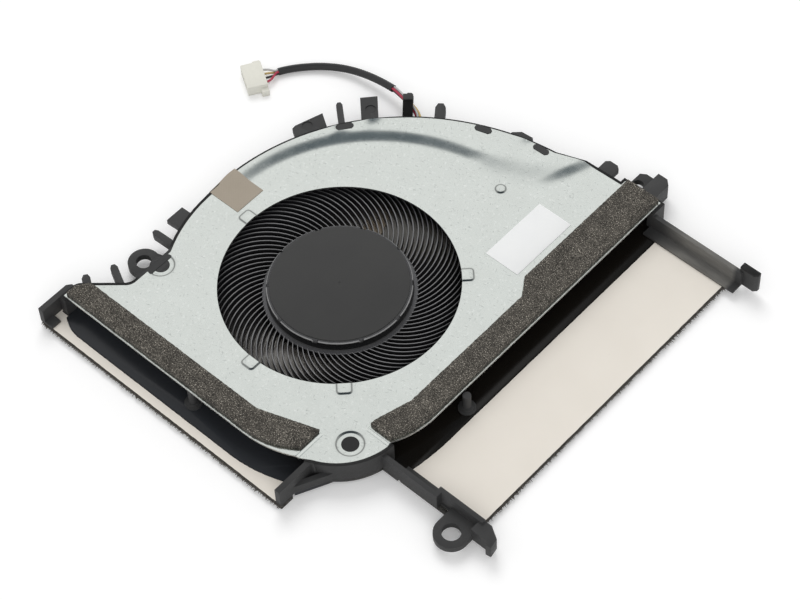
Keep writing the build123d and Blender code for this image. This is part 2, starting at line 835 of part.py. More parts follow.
with BuildPart() as front_cover_foam:
    outer = front_lip_y + foam_inset
    left_end_x = left_post_x + foam_margin
    right_end_x = front_pad_end[0] - front_foam_end[0]
    foam_bow = (front_foam_bow[0], outer + front_foam_bow[1])
    foam_back_y = front_pad_y - foam_margin
    with BuildSketch(Plane.XY.offset(rim_top)):
        with BuildLine():
            Line((left_end_x, outer), (front_bend_x, outer))
            ThreePointArc((front_bend_x, outer), foam_bow, (right_end_x, outer + front_foam_end[1]))
            Polyline(
                (right_end_x, outer + front_foam_end[1]),
                (right_end_x, foam_back_y + front_pad_end[1]),
                (front_pad_knee[0], foam_back_y + front_pad_knee[1]),
                (front_pad_bend_x, foam_back_y),
                (left_post_x + front_foam_bevel[0], foam_back_y),
                (left_end_x, outer + front_foam_bevel[1]),
                (left_end_x, outer),
            )
        make_face()
    extrude(amount=cover_foam_height)
save(front_cover_foam, "front_cover_foam")

# Blank sticker and the cloth tape folded over the edge
with BuildPart() as blank_label:
    with BuildSketch(Plane.XY.offset(cover_top)):
        with Locations(label_centre):
            Rectangle(*label_size)
    extrude(amount=sticker_thickness)
save(blank_label, "blank_label")

tape_area = [
    (-outside, tape_span[0]),
    (tape_inner_x, tape_span[0]),
    (tape_inner_x, tape_span[1]),
    (-outside, tape_span[1]),
]
with BuildPart() as edge_tape:
    with BuildSketch(Plane.XY.offset(cover_top)):
        add(outline(wall_lip + tape_thickness, 0))
        add(plate(tape_area, level_plane(0)), mode=Mode.INTERSECT)
    extrude(amount=tape_thickness)
    with BuildSketch(Plane.XY.offset(cover_top)):
        add(outline(wall_lip + tape_thickness, 0))
        add(outline(wall_lip, 0), mode=Mode.SUBTRACT)
        add(plate(tape_area, level_plane(0)), mode=Mode.INTERSECT)
    extrude(amount=-tape_fold)
save(edge_tape, "edge_tape")

# Impeller: a hub ring with notched rim, and one blade repeated round it
blade_bottom = floor_top + blade_bottom_gap
blade_root_top = cover_top - blade_root_drop
hub_radius = disc_radius + hub_wall
flange_radius = hub_radius + hub_flange
rim_level = disc_top - rim_drop

# A blade's middle line is an arc from its root to its tip, bowed backwards
blade_root = Vector(*polar(blade_root_radius, blade_start))
blade_tip = Vector(*polar(blade_tip_radius, blade_start + blade_sweep))
chord = (blade_tip - blade_root).normalized()
blade_crest = (blade_root + blade_tip) / 2 + Vector(chord.Y, -chord.X) * blade_bow
with BuildLine() as blade_line:
    ThreePointArc(blade_root, blade_crest, blade_tip)

blade_sections = []
for side in (1, -1):
    run = []
    for step in range(blade_sides + 1):
        point = blade_line.line @ (step / blade_sides)
        tangent = blade_line.line % (step / blade_sides)
        half = side * blade_thickness / 2
        run.append((point.X - half * tangent.Y, point.Y + half * tangent.X))
    blade_sections.append(run)
blade_outline = [*blade_sections[0], *reversed(blade_sections[1])]

with BuildPart() as blade:
    extrude(plate(blade_outline, level_plane(blade_bottom)), amount=cover_bottom - blade_bottom)
    slope_origin = (*blade_outline[0], blade_root_top)
    slope_normal = (-blade_rise[0], -blade_rise[1], 1)
    split(bisect_by=Plane(origin=slope_origin, z_dir=slope_normal), keep=Keep.BOTTOM)

with BuildPart() as impeller:
    with BuildSketch(Plane.XZ):
        with BuildLine():
            Polyline(
                (disc_radius, blade_bottom),
                (flange_radius, blade_bottom),
                (flange_radius, blade_root_top),
                (hub_radius, blade_root_top),
                (hub_radius, rim_level - rim_bevel),
                (hub_radius - rim_bevel, rim_level),
                (disc_radius, rim_level),
                close=True,
            )
        make_face()
    revolve(axis=Axis.Z)
    with BuildSketch(Plane.XY.offset(rim_level)):
        with PolarLocations(hub_radius, rim_notches, start_angle=notch_start):
            Rectangle(hub_wall, notch_width)
    extrude(amount=-notch_depth, mode=Mode.SUBTRACT)
    with PolarLocations(0, blade_count):
        add(blade.part)
save(impeller, "impeller")

# Rotor yoke: a drawn steel cup pressed into the hub, with the shaft in its boss and a centre mark
yoke_bottom = floor_top + skirt_lift
yoke_inner_radius = disc_radius - skirt_thickness
disc_bottom = disc_top - disc_thickness
shaft_top = disc_top - shaft_cover
mark_bottom = disc_top - centre_mark_depth
with BuildPart() as rotor_yoke:
    with BuildSketch(Plane.XZ):
        with BuildLine():
            Polyline(
                (0, mark_bottom),
                (centre_mark_radius, mark_bottom),
                (centre_mark_radius, disc_top),
                (disc_radius, disc_top),
                (disc_radius, yoke_bottom),
                (yoke_inner_radius, yoke_bottom),
                (yoke_inner_radius, disc_bottom),
                (boss_radius, disc_bottom),
                (boss_radius, disc_bottom - boss_depth),
                (shaft_radius, disc_bottom - boss_depth),
                (shaft_radius, shaft_top),
                (0, shaft_top),
                close=True,
            )
        make_face()
    revolve(axis=Axis.Z)
save(rotor_yoke, "rotor_yoke")

magnet_inner_radius = yoke_inner_radius - magnet_thickness
with BuildPart() as magnet_ring:
    with BuildSketch(Plane.XY.offset(yoke_bottom + magnet_lift)):
        Circle(yoke_inner_radius)
        Circle(magnet_inner_radius, mode=Mode.SUBTRACT)
    extrude(amount=magnet_height)
save(magnet_ring, "magnet_ring")

with BuildPart() as shaft:
    with BuildSketch(Plane.XY.offset(seat_thickness + pad_thickness + pad_clearance)):
        Circle(shaft_radius)
    extrude(amount=shaft_top - seat_thickness - pad_thickness - pad_clearance)
save(shaft, "shaft")

# Bearing: a brass tube in the frame's well, a sintered sleeve and the pad that the shaft runs on
tube_top = floor_top + tube_height
with BuildPart() as bearing_tube:
    with BuildSketch(Plane.XY.offset(seat_thickness)):
        Circle(tube_radius)
        Circle(bearing_radius, mode=Mode.SUBTRACT)
    extrude(amount=tube_top - seat_thickness)
save(bearing_tube, "bearing_tube")

with BuildPart() as thrust_pad:
    with BuildSketch(Plane.XY.offset(seat_thickness)):
        Circle(bearing_radius)
    extrude(amount=pad_thickness)
save(thrust_pad, "thrust_pad")

with BuildPart() as bearing_sleeve:
    with BuildSketch(Plane.XY.offset(seat_thickness + pad_thickness)):
        Circle(bearing_radius)
        Circle(shaft_radius + bearing_clearance, mode=Mode.SUBTRACT)
    extrude(amount=tube_top - seat_thickness - pad_thickness)
save(bearing_sleeve, "bearing_sleeve")

# Stator: a laminated core with a winding on each tooth
core_bottom = floor_top + core_lift
core_radius = magnet_inner_radius - air_gap
ring_radius = tube_radius + core_ring
tip_inner_radius = core_radius - tooth_tip_depth
with BuildPart() as stator_core:
    with BuildSketch(Plane.XY.offset(core_bottom)):
        Circle(ring_radius)
        with PolarLocations((ring_radius + core_radius) / 2 - tooth_root, teeth):
            Rectangle(core_radius - ring_radius, tooth_width)
        with PolarLocations(core_radius - tooth_tip_depth / 2, teeth):
            Rectangle(tooth_tip_depth, tooth_tip_width)
        Circle(core_radius, mode=Mode.INTERSECT)
        Circle(tube_radius, mode=Mode.SUBTRACT)
    extrude(amount=core_height)
save(stator_core, "stator_core")

coil_length = tip_inner_radius - ring_radius - 2 * coil_gap
with BuildPart() as stator_coils:
    with BuildSketch(Plane.XY.offset(core_bottom - coil_build)):
        with PolarLocations((tip_inner_radius + ring_radius) / 2, teeth):
            Rectangle(coil_length, tooth_width + 2 * coil_build)
    extrude(amount=core_height + 2 * coil_build)
    add(stator_core.part, mode=Mode.SUBTRACT)
save(stator_coils, "stator_coils")

# Flexible board on the floor, with a tail to the wires and the driver chip
board_top = floor_top + board_thickness
with BuildPart() as motor_board:
    with BuildSketch(Plane.XY.offset(floor_top)):
        Circle(board_radius)
        with Locations(Location(polar(tail_end / 2, tail_angle), tail_angle)):
            Rectangle(tail_end, tail_width)
        Circle(tube_radius + board_clearance, mode=Mode.SUBTRACT)
    extrude(amount=board_thickness)
save(motor_board, "motor_board")

with BuildPart() as driver_chip:
    with BuildSketch(Plane.XY.offset(board_top)):
        with Locations(Location(polar(chip_place, chip_angle), chip_angle)):
            Rectangle(chip_size, chip_size)
    extrude(amount=chip_height)
save(driver_chip, "driver_chip")

# Lead: four wires from the board through the wall and the clip, a sleeve round them, and their connector
lead_route = [
    (-17.4, 43.5, 3.6),
    (-19.7, 46.4, 3.65),
    (-23.8, 47.4, 3.55),
    (-27.6, 47.75, 3.35),
    (-31.6, 47.9, 2.85),
    (-36.8, 47.5, 2.15),
    (-41.5, 46.4, 1.5),
    (-45.9, 44.0, 1.15),
    (-49.6, 40.6, 1.0),
    (-51.9, 37.6, 1.0),
    (-53.1, 35.0, 1.1),
]
sleeve_first = 3
sleeve_last = 9


def middle(one, other):
    return tuple((a + b) / 2 for a, b in zip(one, other))


def tube_path(points):
    # Straight runs joined by the largest arcs that the runs allow
    vectors = [Vector(*point) for point in points]
    bends = []
    for before, corner, after in zip(vectors, vectors[1:], vectors[2:]):
        turn = radians((corner - before).get_angle(after - corner))
        shorter = min((corner - before).length, (after - corner).length)
        bends.append(arc_share * shorter / tan(turn / 2))
    print("bend radii", [round(bend, 1) for bend in bends])
    with BuildLine() as path:
        FilletPolyline(*points, radius=bends)
    return path.line


def tube(points, diameter):
    # The six-sided section of a wire or sleeve, and its path
    path = tube_path(points)
    with BuildSketch(Plane(origin=path @ 0, z_dir=path % 0)) as section:
        RegularPolygon(diameter / 2, cord_sides)
    return section.sketch, path


def aside(points, side, rise):
    # A route moved sideways and up, point by point
    moved = []
    for index, point in enumerate(points):
        before = points[max(index - 1, 0)]
        after = points[min(index + 1, len(points) - 1)]
        run = sqrt((after[0] - before[0]) ** 2 + (after[1] - before[1]) ** 2)
        left = ((before[1] - after[1]) / run, (after[0] - before[0]) / run)
        moved.append((point[0] + side * left[0], point[1] + side * left[1], point[2] + rise))
    return moved


sleeve_start = middle(lead_route[sleeve_first], lead_route[sleeve_first + 1])
first_stretch = [*lead_route[: sleeve_first + 1], sleeve_start]
sleeve_end = middle(lead_route[sleeve_last], lead_route[sleeve_last + 1])
last_stretch = [sleeve_end, middle(sleeve_end, lead_route[sleeve_last + 1])]
sleeve_route = [sleeve_start, *lead_route[sleeve_first + 1 : sleeve_last + 1], sleeve_end]
tail_tip = polar(tail_end - solder_length, tail_angle)
tail_across = polar(1, tail_angle - 90)
connector_plane = Plane(
    origin=(*connector_back, 0), x_dir=(*polar(1, connector_angle + 90), 0), z_dir=(0, 0, 1)
)
cavity_level = connector_height / 2

for index, name in enumerate(wire_names):
    row = index - (len(wire_names) - 1) / 2
    side = wire_spread if row < 0 else -wire_spread
    rise = wire_spread if abs(row) > 1 else -wire_spread
    solder = (
        tail_tip[0] + row * wire_pitch * tail_across[0],
        tail_tip[1] + row * wire_pitch * tail_across[1],
        board_top + wire_diameter / 2,
    )
    crimp_x = -row * connector_pitch
    entry = tuple(connector_plane.from_local_coords(Vector(crimp_x, wire_lead_in, cavity_level)))
    crimp = tuple(connector_plane.from_local_coords(Vector(crimp_x, -terminal_inset, cavity_level)))
    start_points = [solder, *aside(first_stretch, side, rise)]
    end_points = [*aside(last_stretch, side, rise), entry, crimp]
    with BuildPart() as wire:
        for points in (start_points, end_points):
            section, path = tube(points, wire_diameter)
            sweep(section, path=path)
    print(name, "volume", round(wire.part.volume, 2))
    save(wire, name)

with BuildPart() as cable_sleeve:
    section, path = tube(sleeve_route, sleeve_diameter)
    sweep(section, path=path)
save(cable_sleeve, "cable_sleeve")

with BuildPart() as connector_housing:
    with BuildSketch(connector_plane):
        Rectangle(connector_width, connector_length, align=(Align.CENTER, Align.MAX))
    extrude(amount=connector_height)
    with BuildSketch(connector_plane):
        Rectangle(wing_width, wing_length, align=(Align.CENTER, Align.MAX))
    extrude(amount=wing_height)
    with BuildSketch(connector_plane.offset(cavity_level - cavity_height / 2)):
        with GridLocations(connector_pitch, 1, len(wire_names), 1):
            Rectangle(cavity_width, connector_length, align=(Align.CENTER, Align.MAX))
    extrude(amount=cavity_height, mode=Mode.SUBTRACT)
save(connector_housing, "connector_housing")

terminal_length = connector_length - 2 * terminal_inset
with BuildPart() as connector_terminals:
    with BuildSketch(connector_plane.offset(cavity_level - cavity_height / 2)):
        with Locations((0, -terminal_inset)):
            with GridLocations(connector_pitch, 1, len(wire_names), 1):
                Rectangle(terminal_width, terminal_length, align=(Align.CENTER, Align.MAX))
    extrude(amount=cavity_height)
save(connector_terminals, "connector_terminals")
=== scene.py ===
import math
from contextlib import contextmanager

import bmesh
import bpy
import numpy as np
from mathutils import Matrix, Quaternion, Vector, noise
from mathutils.geometry import delaunay_2d_cdt
from mathutils.kdtree import KDTree


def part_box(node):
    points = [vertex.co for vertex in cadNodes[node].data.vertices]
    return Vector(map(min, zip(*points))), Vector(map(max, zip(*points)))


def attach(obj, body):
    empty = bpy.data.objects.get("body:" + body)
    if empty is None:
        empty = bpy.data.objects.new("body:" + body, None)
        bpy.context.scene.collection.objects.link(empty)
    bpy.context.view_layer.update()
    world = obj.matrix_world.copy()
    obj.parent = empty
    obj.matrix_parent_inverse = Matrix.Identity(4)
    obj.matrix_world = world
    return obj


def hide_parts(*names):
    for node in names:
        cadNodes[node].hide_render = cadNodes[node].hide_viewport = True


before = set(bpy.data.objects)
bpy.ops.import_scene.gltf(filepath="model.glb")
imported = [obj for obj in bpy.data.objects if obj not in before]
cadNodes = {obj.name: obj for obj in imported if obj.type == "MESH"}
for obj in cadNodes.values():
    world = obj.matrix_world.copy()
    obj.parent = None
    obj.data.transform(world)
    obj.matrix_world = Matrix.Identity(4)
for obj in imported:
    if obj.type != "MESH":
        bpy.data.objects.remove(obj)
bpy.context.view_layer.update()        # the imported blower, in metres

mm = 0.001
scene = bpy.context.scene
scene.view_settings.view_transform = "Standard"
noise.seed_set(5)        # the foam's crumbs and the films' frayed edges are the same each run


# Helpers for objects and node trees

def addObject(name, data):
    item = bpy.data.objects.new(name, data)
    scene.collection.objects.link(item)
    return item


def addNode(owner, kind, inputs=None, **settings):
    # A node of a finish, the world or a node group, with its inputs set or joined to other nodes
    tree = getattr(owner, "node_tree", owner)
    node = tree.nodes.new(kind)
    for key, value in settings.items():
        setattr(node, key, value)
    for key, value in (inputs or {}).items():
        if isinstance(value, bpy.types.NodeSocket):
            tree.links.new(value, node.inputs[key])
        else:
            node.inputs[key].default_value = value
    return node


def sums(owner, operation, first, second=0.0):
    return addNode(owner, "ShaderNodeMath", {0: first, 1: second}, operation=operation).outputs[0]


def product(owner, first, *others):
    for other in others:
        first = sums(owner, "MULTIPLY", first, other)
    return first


def ramp(owner, source, *stops, mode="LINEAR"):
    node = addNode(owner, "ShaderNodeValToRGB", {"Fac": source})
    node.color_ramp.interpolation = mode
    for element, (place, value) in zip(node.color_ramp.elements, stops):
        element.position = place
        element.color = (value, value, value, 1) if isinstance(value, (int, float)) else (*value, 1)
    return node.outputs["Color"]


# Camera, light and floor

shot = {
    "eye": (226.0, -210.57, 420.2),     # mm
    "aim": (12.33, 4.76, 6.5),
    "roll": -3.33,                      # degrees
    "lens": 114.085,                    # mm
    "sensor": 36.0,
    "nearest": 0.01,                    # metres
}

studio = {
    "ambient": 0.6,
    "ceiling": (0.1, 0.125, 0.145),     # what glossy faces see overhead
    "ceilingStart": (0.865, 0.93),      # height of the view direction where it begins and where it is full
    "lamps": [                          # name, place in metres, size and power
        ("keyLamp", (-0.45, 0.35, 0.75), 0.5, 3.2),
        ("fillLamp", (0.5, -0.5, 0.5), 0.6, 1.6),
    ],
    "floorSize": 6.0,
    "floorColour": (0.93, 0.93, 0.93),
    "floorGlow": 0.14,
}


def aimAt(item, place, target, roll=0.0):
    item.location = place
    item.rotation_mode = "QUATERNION"
    turn = Quaternion((0, 0, 1), math.radians(roll))
    item.rotation_quaternion = (target - place).to_track_quat("-Z", "Y") @ turn


def setCamera():
    camera = addObject("camera", bpy.data.cameras.new("camera"))
    aimAt(camera, Vector(shot["eye"]) * mm, Vector(shot["aim"]) * mm, shot["roll"])
    camera.data.sensor_width = shot["sensor"]
    camera.data.lens = shot["lens"]
    camera.data.clip_start = shot["nearest"]
    scene.camera = camera


def setStudio():
    # Diffuse rays meet an even light; camera, glossy and transmission rays meet white with a dim ceiling
    world = bpy.data.worlds.new("softbox")
    world.use_nodes = True
    scene.world = world
    even = world.node_tree.nodes["Background"]
    even.inputs["Color"].default_value = (1, 1, 1, 1)
    even.inputs["Strength"].default_value = studio["ambient"]
    view = addNode(world, "ShaderNodeTexCoord").outputs["Generated"]
    height = addNode(world, "ShaderNodeSeparateXYZ", {0: view}).outputs["Z"]
    start, full = studio["ceilingStart"]
    sky = ramp(world, height, (start, 1), (full, studio["ceiling"]), mode="EASE")
    white = addNode(world, "ShaderNodeBackground", {"Color": sky})
    path = addNode(world, "ShaderNodeLightPath").outputs
    seen = sums(world, "MAXIMUM", path["Is Camera Ray"], path["Is Glossy Ray"])
    seen = sums(world, "MAXIMUM", seen, path["Is Transmission Ray"])
    mix = addNode(world, "ShaderNodeMixShader", {0: seen, 1: even.outputs[0], 2: white.outputs[0]})
    surface = world.node_tree.nodes["World Output"].inputs["Surface"]
    world.node_tree.links.new(mix.outputs[0], surface)
    for name, place, size, power in studio["lamps"]:
        lamp = bpy.data.lights.new(name, "AREA")
        lamp.size = size
        lamp.energy = power
        holder = addObject(name, lamp)
        holder.visible_glossy = False
        aimAt(holder, Vector(place), Vector((0, 0, 0)))
    print("studio", len(studio["lamps"]))


def layFloor():
    half = studio["floorSize"] / 2
    mesh = bpy.data.meshes.new("floor")
    corners = [(x * half, y * half, 0) for x, y in ((-1, -1), (1, -1), (1, 1), (-1, 1))]
    mesh.from_pydata(corners, [], [(0, 1, 2, 3)])
    colour = studio["floorColour"]
    finish = newFinish("paleFloor", colour, 0.9)
    light = tuple(min(part * 1.01, 1.0) for part in colour)
    paint(finish, blend(finish, grain(finish, 60, 2), colour, light))
    shaderOf(finish).inputs["Emission Color"].default_value = (1, 1, 1, 1)
    seen = addNode(finish, "ShaderNodeLightPath").outputs["Is Camera Ray"]
    paint(finish, product(finish, seen, studio["floorGlow"]), "Emission Strength")
    mesh.materials.append(finish)
    addObject("floor", mesh)


# Helpers for finishes

def newFinish(name, colour, roughness, metallic=0.0, shine=0.5):
    finish = bpy.data.materials.new(name)
    finish.use_nodes = True
    inputs = shaderOf(finish).inputs
    inputs["Base Color"].default_value = (*colour, 1)
    inputs["Roughness"].default_value = roughness
    inputs["Metallic"].default_value = metallic
    inputs["Specular IOR Level"].default_value = shine
    return finish


def shaderOf(finish):
    return finish.node_tree.nodes["Principled BSDF"]


def paint(finish, source, socket="Base Color"):
    finish.node_tree.links.new(source, shaderOf(finish).inputs[socket])


def addBump(finish, source, depth, strength):
    # Bump with its depth in mm
    inputs = {"Height": source, "Strength": strength, "Distance": depth * mm}
    paint(finish, addNode(finish, "ShaderNodeBump", inputs).outputs["Normal"], "Normal")


def ownPlace(finish):
    return addNode(finish, "ShaderNodeTexCoord").outputs["Object"]


def grain(finish, size, detail=4.0, roughness=0.55, stretch=None, turn=0):
    # Noise on Object coordinates, with its size in mm, made longer along axes turned about Z
    source = ownPlace(finish)
    if stretch:
        inputs = {"Vector": source, "Scale": stretch, "Rotation": (0, 0, math.radians(turn))}
        source = addNode(finish, "ShaderNodeMapping", inputs, vector_type="TEXTURE").outputs["Vector"]
    inputs = {"Vector": source, "Scale": 1 / (size * mm), "Detail": detail, "Roughness": roughness}
    return addNode(finish, "ShaderNodeTexNoise", inputs).outputs["Fac"]


def blend(finish, factor, first, second, mode="MIX"):
    first, second = ((*value, 1) if isinstance(value, tuple) else value for value in (first, second))
    inputs = {0: factor, 6: first, 7: second}
    return addNode(finish, "ShaderNodeMix", inputs, data_type="RGBA", blend_type=mode).outputs[2]


def mask(finish, value, low, high):
    # 0 at the first limit and 1 at the second
    inputs = {"Value": value, "From Min": low, "From Max": high}
    return addNode(finish, "ShaderNodeMapRange", inputs).outputs["Result"]


def axisMask(finish, axis, low, high):
    # The same along an axis, in mm
    split = addNode(finish, "ShaderNodeSeparateXYZ", {0: ownPlace(finish)})
    return mask(finish, split.outputs[axis], low * mm, high * mm)


def radiusMask(finish, low, high, centre=(0, 0)):
    # The same outwards from an upright line, such as the rotor axis
    middle = (centre[0] * mm, centre[1] * mm, 0)
    shift = addNode(finish, "ShaderNodeVectorMath", {0: ownPlace(finish), 1: middle}, operation="SUBTRACT")
    flat = addNode(finish, "ShaderNodeVectorMath", {0: shift.outputs[0], 1: (1, 1, 0)}, operation="MULTIPLY")
    length = addNode(finish, "ShaderNodeVectorMath", {0: flat.outputs[0]}, operation="LENGTH")
    return mask(finish, length.outputs["Value"], low * mm, high * mm)


# Finishes

frameLook = {
    "black": ((0.033, 0.033, 0.0335), (0.05, 0.05, 0.05)),
    # Painted bounce light: the back rail is painted lighter, in streaks, as light bounced from the pale film
    "railBounceLight": (0.17, 0.165, 0.153),       # on the back rail
    "bounceStart": (40, 46),              # mm along X
    "bounceEnd": (59, 58),
    "bounceSide": (51, 52.5),             # mm along Y
    "lipShade": (0.011, 0.011, 0.011),
    "lipHeights": ((6.3, 6.42), (6.95, 7.05)),
    "leftStake": (-31.5, -21.0),        # the bar over this stake is out of the shade
    "leftStakeRadii": (4.5, 5.5),
    "floorTop": (1.52, 1.7),
    "wheelEdge": (25, 29),              # mm from the axis, where the bays take over from the blades
    # Painted sheen: the floor under the blades is painted light grey so its gloss shows between the blades
    "underWheelSheen": (0.36, 0.34, 0.31),
    "sideBay": (0.009, 0.0076, 0.0062),
    "frontBay": (0.024, 0.026, 0.03),
    "frontBayStart": (-31, -37),        # mm along Y
}


def makeFrameFinish():
    look = frameLook
    finish = newFinish("mouldedBlack", (0.03, 0.03, 0.031), 0.5, 0.0, 0.3)
    colour = blend(finish, grain(finish, 6, 3), *look["black"])
    # Painted bounce light from the pale film, in streaks along the back rail
    edges = [axisMask(finish, "X", *look["bounceStart"]), axisMask(finish, "X", *look["bounceEnd"])]
    streak = ramp(finish, grain(finish, 1.2, 3, 0.6, (5, 1, 1)), (0.3, 0.55), (0.7, 1.0))
    railBounceLight = product(finish, axisMask(finish, "Y", *look["bounceSide"]), *edges, streak)
    colour = blend(finish, railBounceLight, colour, look["railBounceLight"])
    # The lip round the cover is in its shade
    low, high = (axisMask(finish, "Z", *heights) for heights in look["lipHeights"])
    clear = radiusMask(finish, *look["leftStakeRadii"], look["leftStake"])
    shade = product(finish, sums(finish, "SUBTRACT", low, high), clear)
    colour = blend(finish, shade, colour, look["lipShade"])
    # The floor is darker in the fin bays; under the blades it is glossy and painted light grey as a painted
    # sheen
    raised = axisMask(finish, "Z", *look["floorTop"])
    outer = radiusMask(finish, *look["wheelEdge"])
    front = axisMask(finish, "Y", *look["frontBayStart"])
    bay = blend(finish, front, look["sideBay"], look["frontBay"])
    floor = blend(finish, outer, look["underWheelSheen"], bay)
    paint(finish, blend(finish, raised, floor, colour))
    fine = grain(finish, 0.35, 3)
    rough = ramp(finish, fine, (0.3, 0.42), (0.7, 0.58))
    paint(finish, blend(finish, raised, (0.25, 0.25, 0.25), rough), "Roughness")
    dull = sums(finish, "MAXIMUM", raised, outer)
    paint(finish, blend(finish, dull, (1, 1, 1), (0.3, 0.3, 0.3)), "Specular IOR Level")
    addBump(finish, product(finish, fine, raised), 0.02, 0.5)
    return finish


def makeCoverFinish():
    finish = newFinish("galvanisedSheet", (0.7, 0.72, 0.71), 0.4, 1.0)
    base = blend(finish, grain(finish, 7, 4), (0.635, 0.665, 0.635), (0.695, 0.73, 0.7))
    fleck = ramp(finish, grain(finish, 0.8, 5, 0.62), (0.56, 0), (0.7, 1))
    base = blend(finish, product(finish, fleck, 0.4), base, (0.88, 0.9, 0.88))
    # Short dark strokes in the zinc, two ways
    for turn, share in ((20, 0.5), (-55, 0.4)):
        stroke = ramp(finish, grain(finish, 0.34, 2, 0.5, (3.5, 1.0, 1.0), turn), (0.27, 1), (0.36, 0))
        base = blend(finish, product(finish, stroke, share), base, (0.36, 0.38, 0.37))
    # Painted shade: a thin dark line along the steps of the tabs, dimple and dishes
    creaseShade = addNode(finish, "ShaderNodeAttribute", attribute_name="creaseShade").outputs["Fac"]
    paint(finish, blend(finish, product(finish, creaseShade, 0.92), base, (0.13, 0.135, 0.13)))
    # The gloss changes from spangle to spangle
    inputs = {"Vector": ownPlace(finish), "Scale": 1 / (2.2 * mm)}
    spangle = addNode(finish, "ShaderNodeTexVoronoi", inputs).outputs["Color"]
    shade = addNode(finish, "ShaderNodeRGBToBW", {0: spangle}).outputs[0]
    fine = grain(finish, 0.5, 4)
    rough = sums(finish, "ADD", product(finish, shade, 0.05), 0.13)
    paint(finish, sums(finish, "ADD", rough, product(finish, fine, 0.06)), "Roughness")
    addBump(finish, fine, 0.004, 0.5)
    return finish


def makeCutFinish():
    finish = newFinish("shearedEdge", (0.86, 0.86, 0.85), 0.3, 1.0)
    streak = grain(finish, 0.3, 3, 0.5, (1, 1, 5))      # longer up the sheet's edge
    paint(finish, blend(finish, streak, (0.7, 0.7, 0.69), (0.95, 0.95, 0.94)))
    addBump(finish, streak, 0.01, 0.5)
    return finish


def makeFoamFinish(name, pore, body, sparkle):
    finish = newFinish(name, body, 0.95)
    coarse = grain(finish, 0.5, 4, 0.65)
    fine = grain(finish, 0.2, 2, 0.5)
    colour = blend(finish, ramp(finish, coarse, (0.36, 0), (0.6, 1)), pore, body)
    colour = blend(finish, ramp(finish, fine, (0.58, 0), (0.68, 1)), colour, sparkle)
    patch = ramp(finish, grain(finish, 2.2, 3, 0.6), (0.35, 0.72), (0.65, 1.2))
    paint(finish, blend(finish, 1.0, colour, patch, "MULTIPLY"))
    addBump(finish, sums(finish, "ADD", coarse, fine), 0.12, 0.9)
    return finish


def makeFilmFinish():
    finish = newFinish("paleFilm", (0.72, 0.68, 0.62), 0.55)
    colour = blend(finish, grain(finish, 12, 3), (0.79, 0.74, 0.665), (0.86, 0.81, 0.735))
    speck = ramp(finish, grain(finish, 0.5, 2), (0.7, 0), (0.8, 0.25))
    paint(finish, blend(finish, speck, colour, (0.5, 0.47, 0.42)))
    addBump(finish, grain(finish, 1.4, 3), 0.02, 0.4)
    return finish


def makeLabelFinish():
    finish = newFinish("whiteSticker", (0.86, 0.87, 0.87), 0.45)
    paint(finish, blend(finish, grain(finish, 5, 3), (0.84, 0.85, 0.85), (0.9, 0.905, 0.9)))
    addBump(finish, grain(finish, 0.25, 3), 0.006, 0.5)
    return finish


def makeTapeFinish():
    finish = newFinish("clothTape", (0.4, 0.345, 0.28), 0.8)
    threads = []
    for turn in (45, 135):
        inputs = {"Vector": ownPlace(finish), "Rotation": (0, 0, math.radians(turn))}
        across = addNode(finish, "ShaderNodeMapping", inputs).outputs["Vector"]
        inputs = {"Vector": across, "Scale": 620.0, "Distortion": 0.6, "Detail": 1.0}
        threads.append(addNode(finish, "ShaderNodeTexWave", inputs).outputs["Fac"])
    weave = sums(finish, "MAXIMUM", *threads)
    colour = blend(finish, grain(finish, 3, 3), (0.55, 0.48, 0.38), (0.66, 0.58, 0.48))
    share = sums(finish, "ADD", product(finish, weave, 0.12), 0.12)
    paint(finish, blend(finish, share, (0.3, 0.26, 0.21), colour))
    addBump(finish, weave, 0.03, 0.5)
    return finish


def makeBladeFinish():
    finish = newFinish("bladeBlack", (0.012, 0.012, 0.013), 0.32)
    # Upward faces are painted lighter than the sides, a painted highlight on the blade tops
    normal = addNode(finish, "ShaderNodeNewGeometry").outputs["Normal"]
    upward = addNode(finish, "ShaderNodeSeparateXYZ", {0: normal}).outputs["Z"]
    side = blend(finish, grain(finish, 1.2, 3), (0.008, 0.008, 0.009), (0.016, 0.016, 0.018))
    # Painted shade: the tops go dark again towards the tips, under the cover's edge
    tip = radiusMask(finish, 22.0, 24.7)
    top = blend(finish, tip, (0.21, 0.21, 0.215), (0.02, 0.02, 0.022))
    paint(finish, blend(finish, mask(finish, upward, 0.45, 0.9), side, top))
    paint(finish, ramp(finish, grain(finish, 0.4, 3), (0.3, 0.26), (0.7, 0.42)), "Roughness")
    return finish


def makeHubFinish():
    finish = newFinish("hubGrey", (0.042, 0.042, 0.042), 0.62, 0.0, 0.25)
    paint(finish, blend(finish, grain(finish, 8, 2), (0.043, 0.043, 0.043), (0.051, 0.051, 0.05)))
    fine = grain(finish, 0.2, 3)
    paint(finish, ramp(finish, fine, (0.3, 0.55), (0.7, 0.7)), "Roughness")
    addBump(finish, fine, 0.008, 0.5)
    return finish


def makeRimFinish():
    finish = newFinish("hubRim", (0.03, 0.03, 0.032), 0.28)
    paint(finish, blend(finish, grain(finish, 1.5, 3), (0.022, 0.022, 0.024), (0.045, 0.045, 0.048)))
    paint(finish, ramp(finish, grain(finish, 0.5, 3), (0.3, 0.2), (0.7, 0.4)), "Roughness")
    return finish


def makePlainFinish(name, colour, roughness, metallic=0.0, spread=0.12, size=0.8, shine=0.5):
    # A moulded, drawn or plated surface with slight variation of colour and gloss
    finish = newFinish(name, colour, roughness, metallic, shine)
    cloud = grain(finish, size, 3)
    dark = tuple(part * (1 - spread) for part in colour)
    light = tuple(min(part * (1 + spread), 1.0) for part in colour)
    paint(finish, blend(finish, cloud, dark, light))
    gloss = ramp(finish, cloud, (0.3, roughness * 0.85), (0.7, min(roughness * 1.2, 1.0)))
    paint(finish, gloss, "Roughness")
    addBump(finish, cloud, 0.01, 0.3)
    return finish


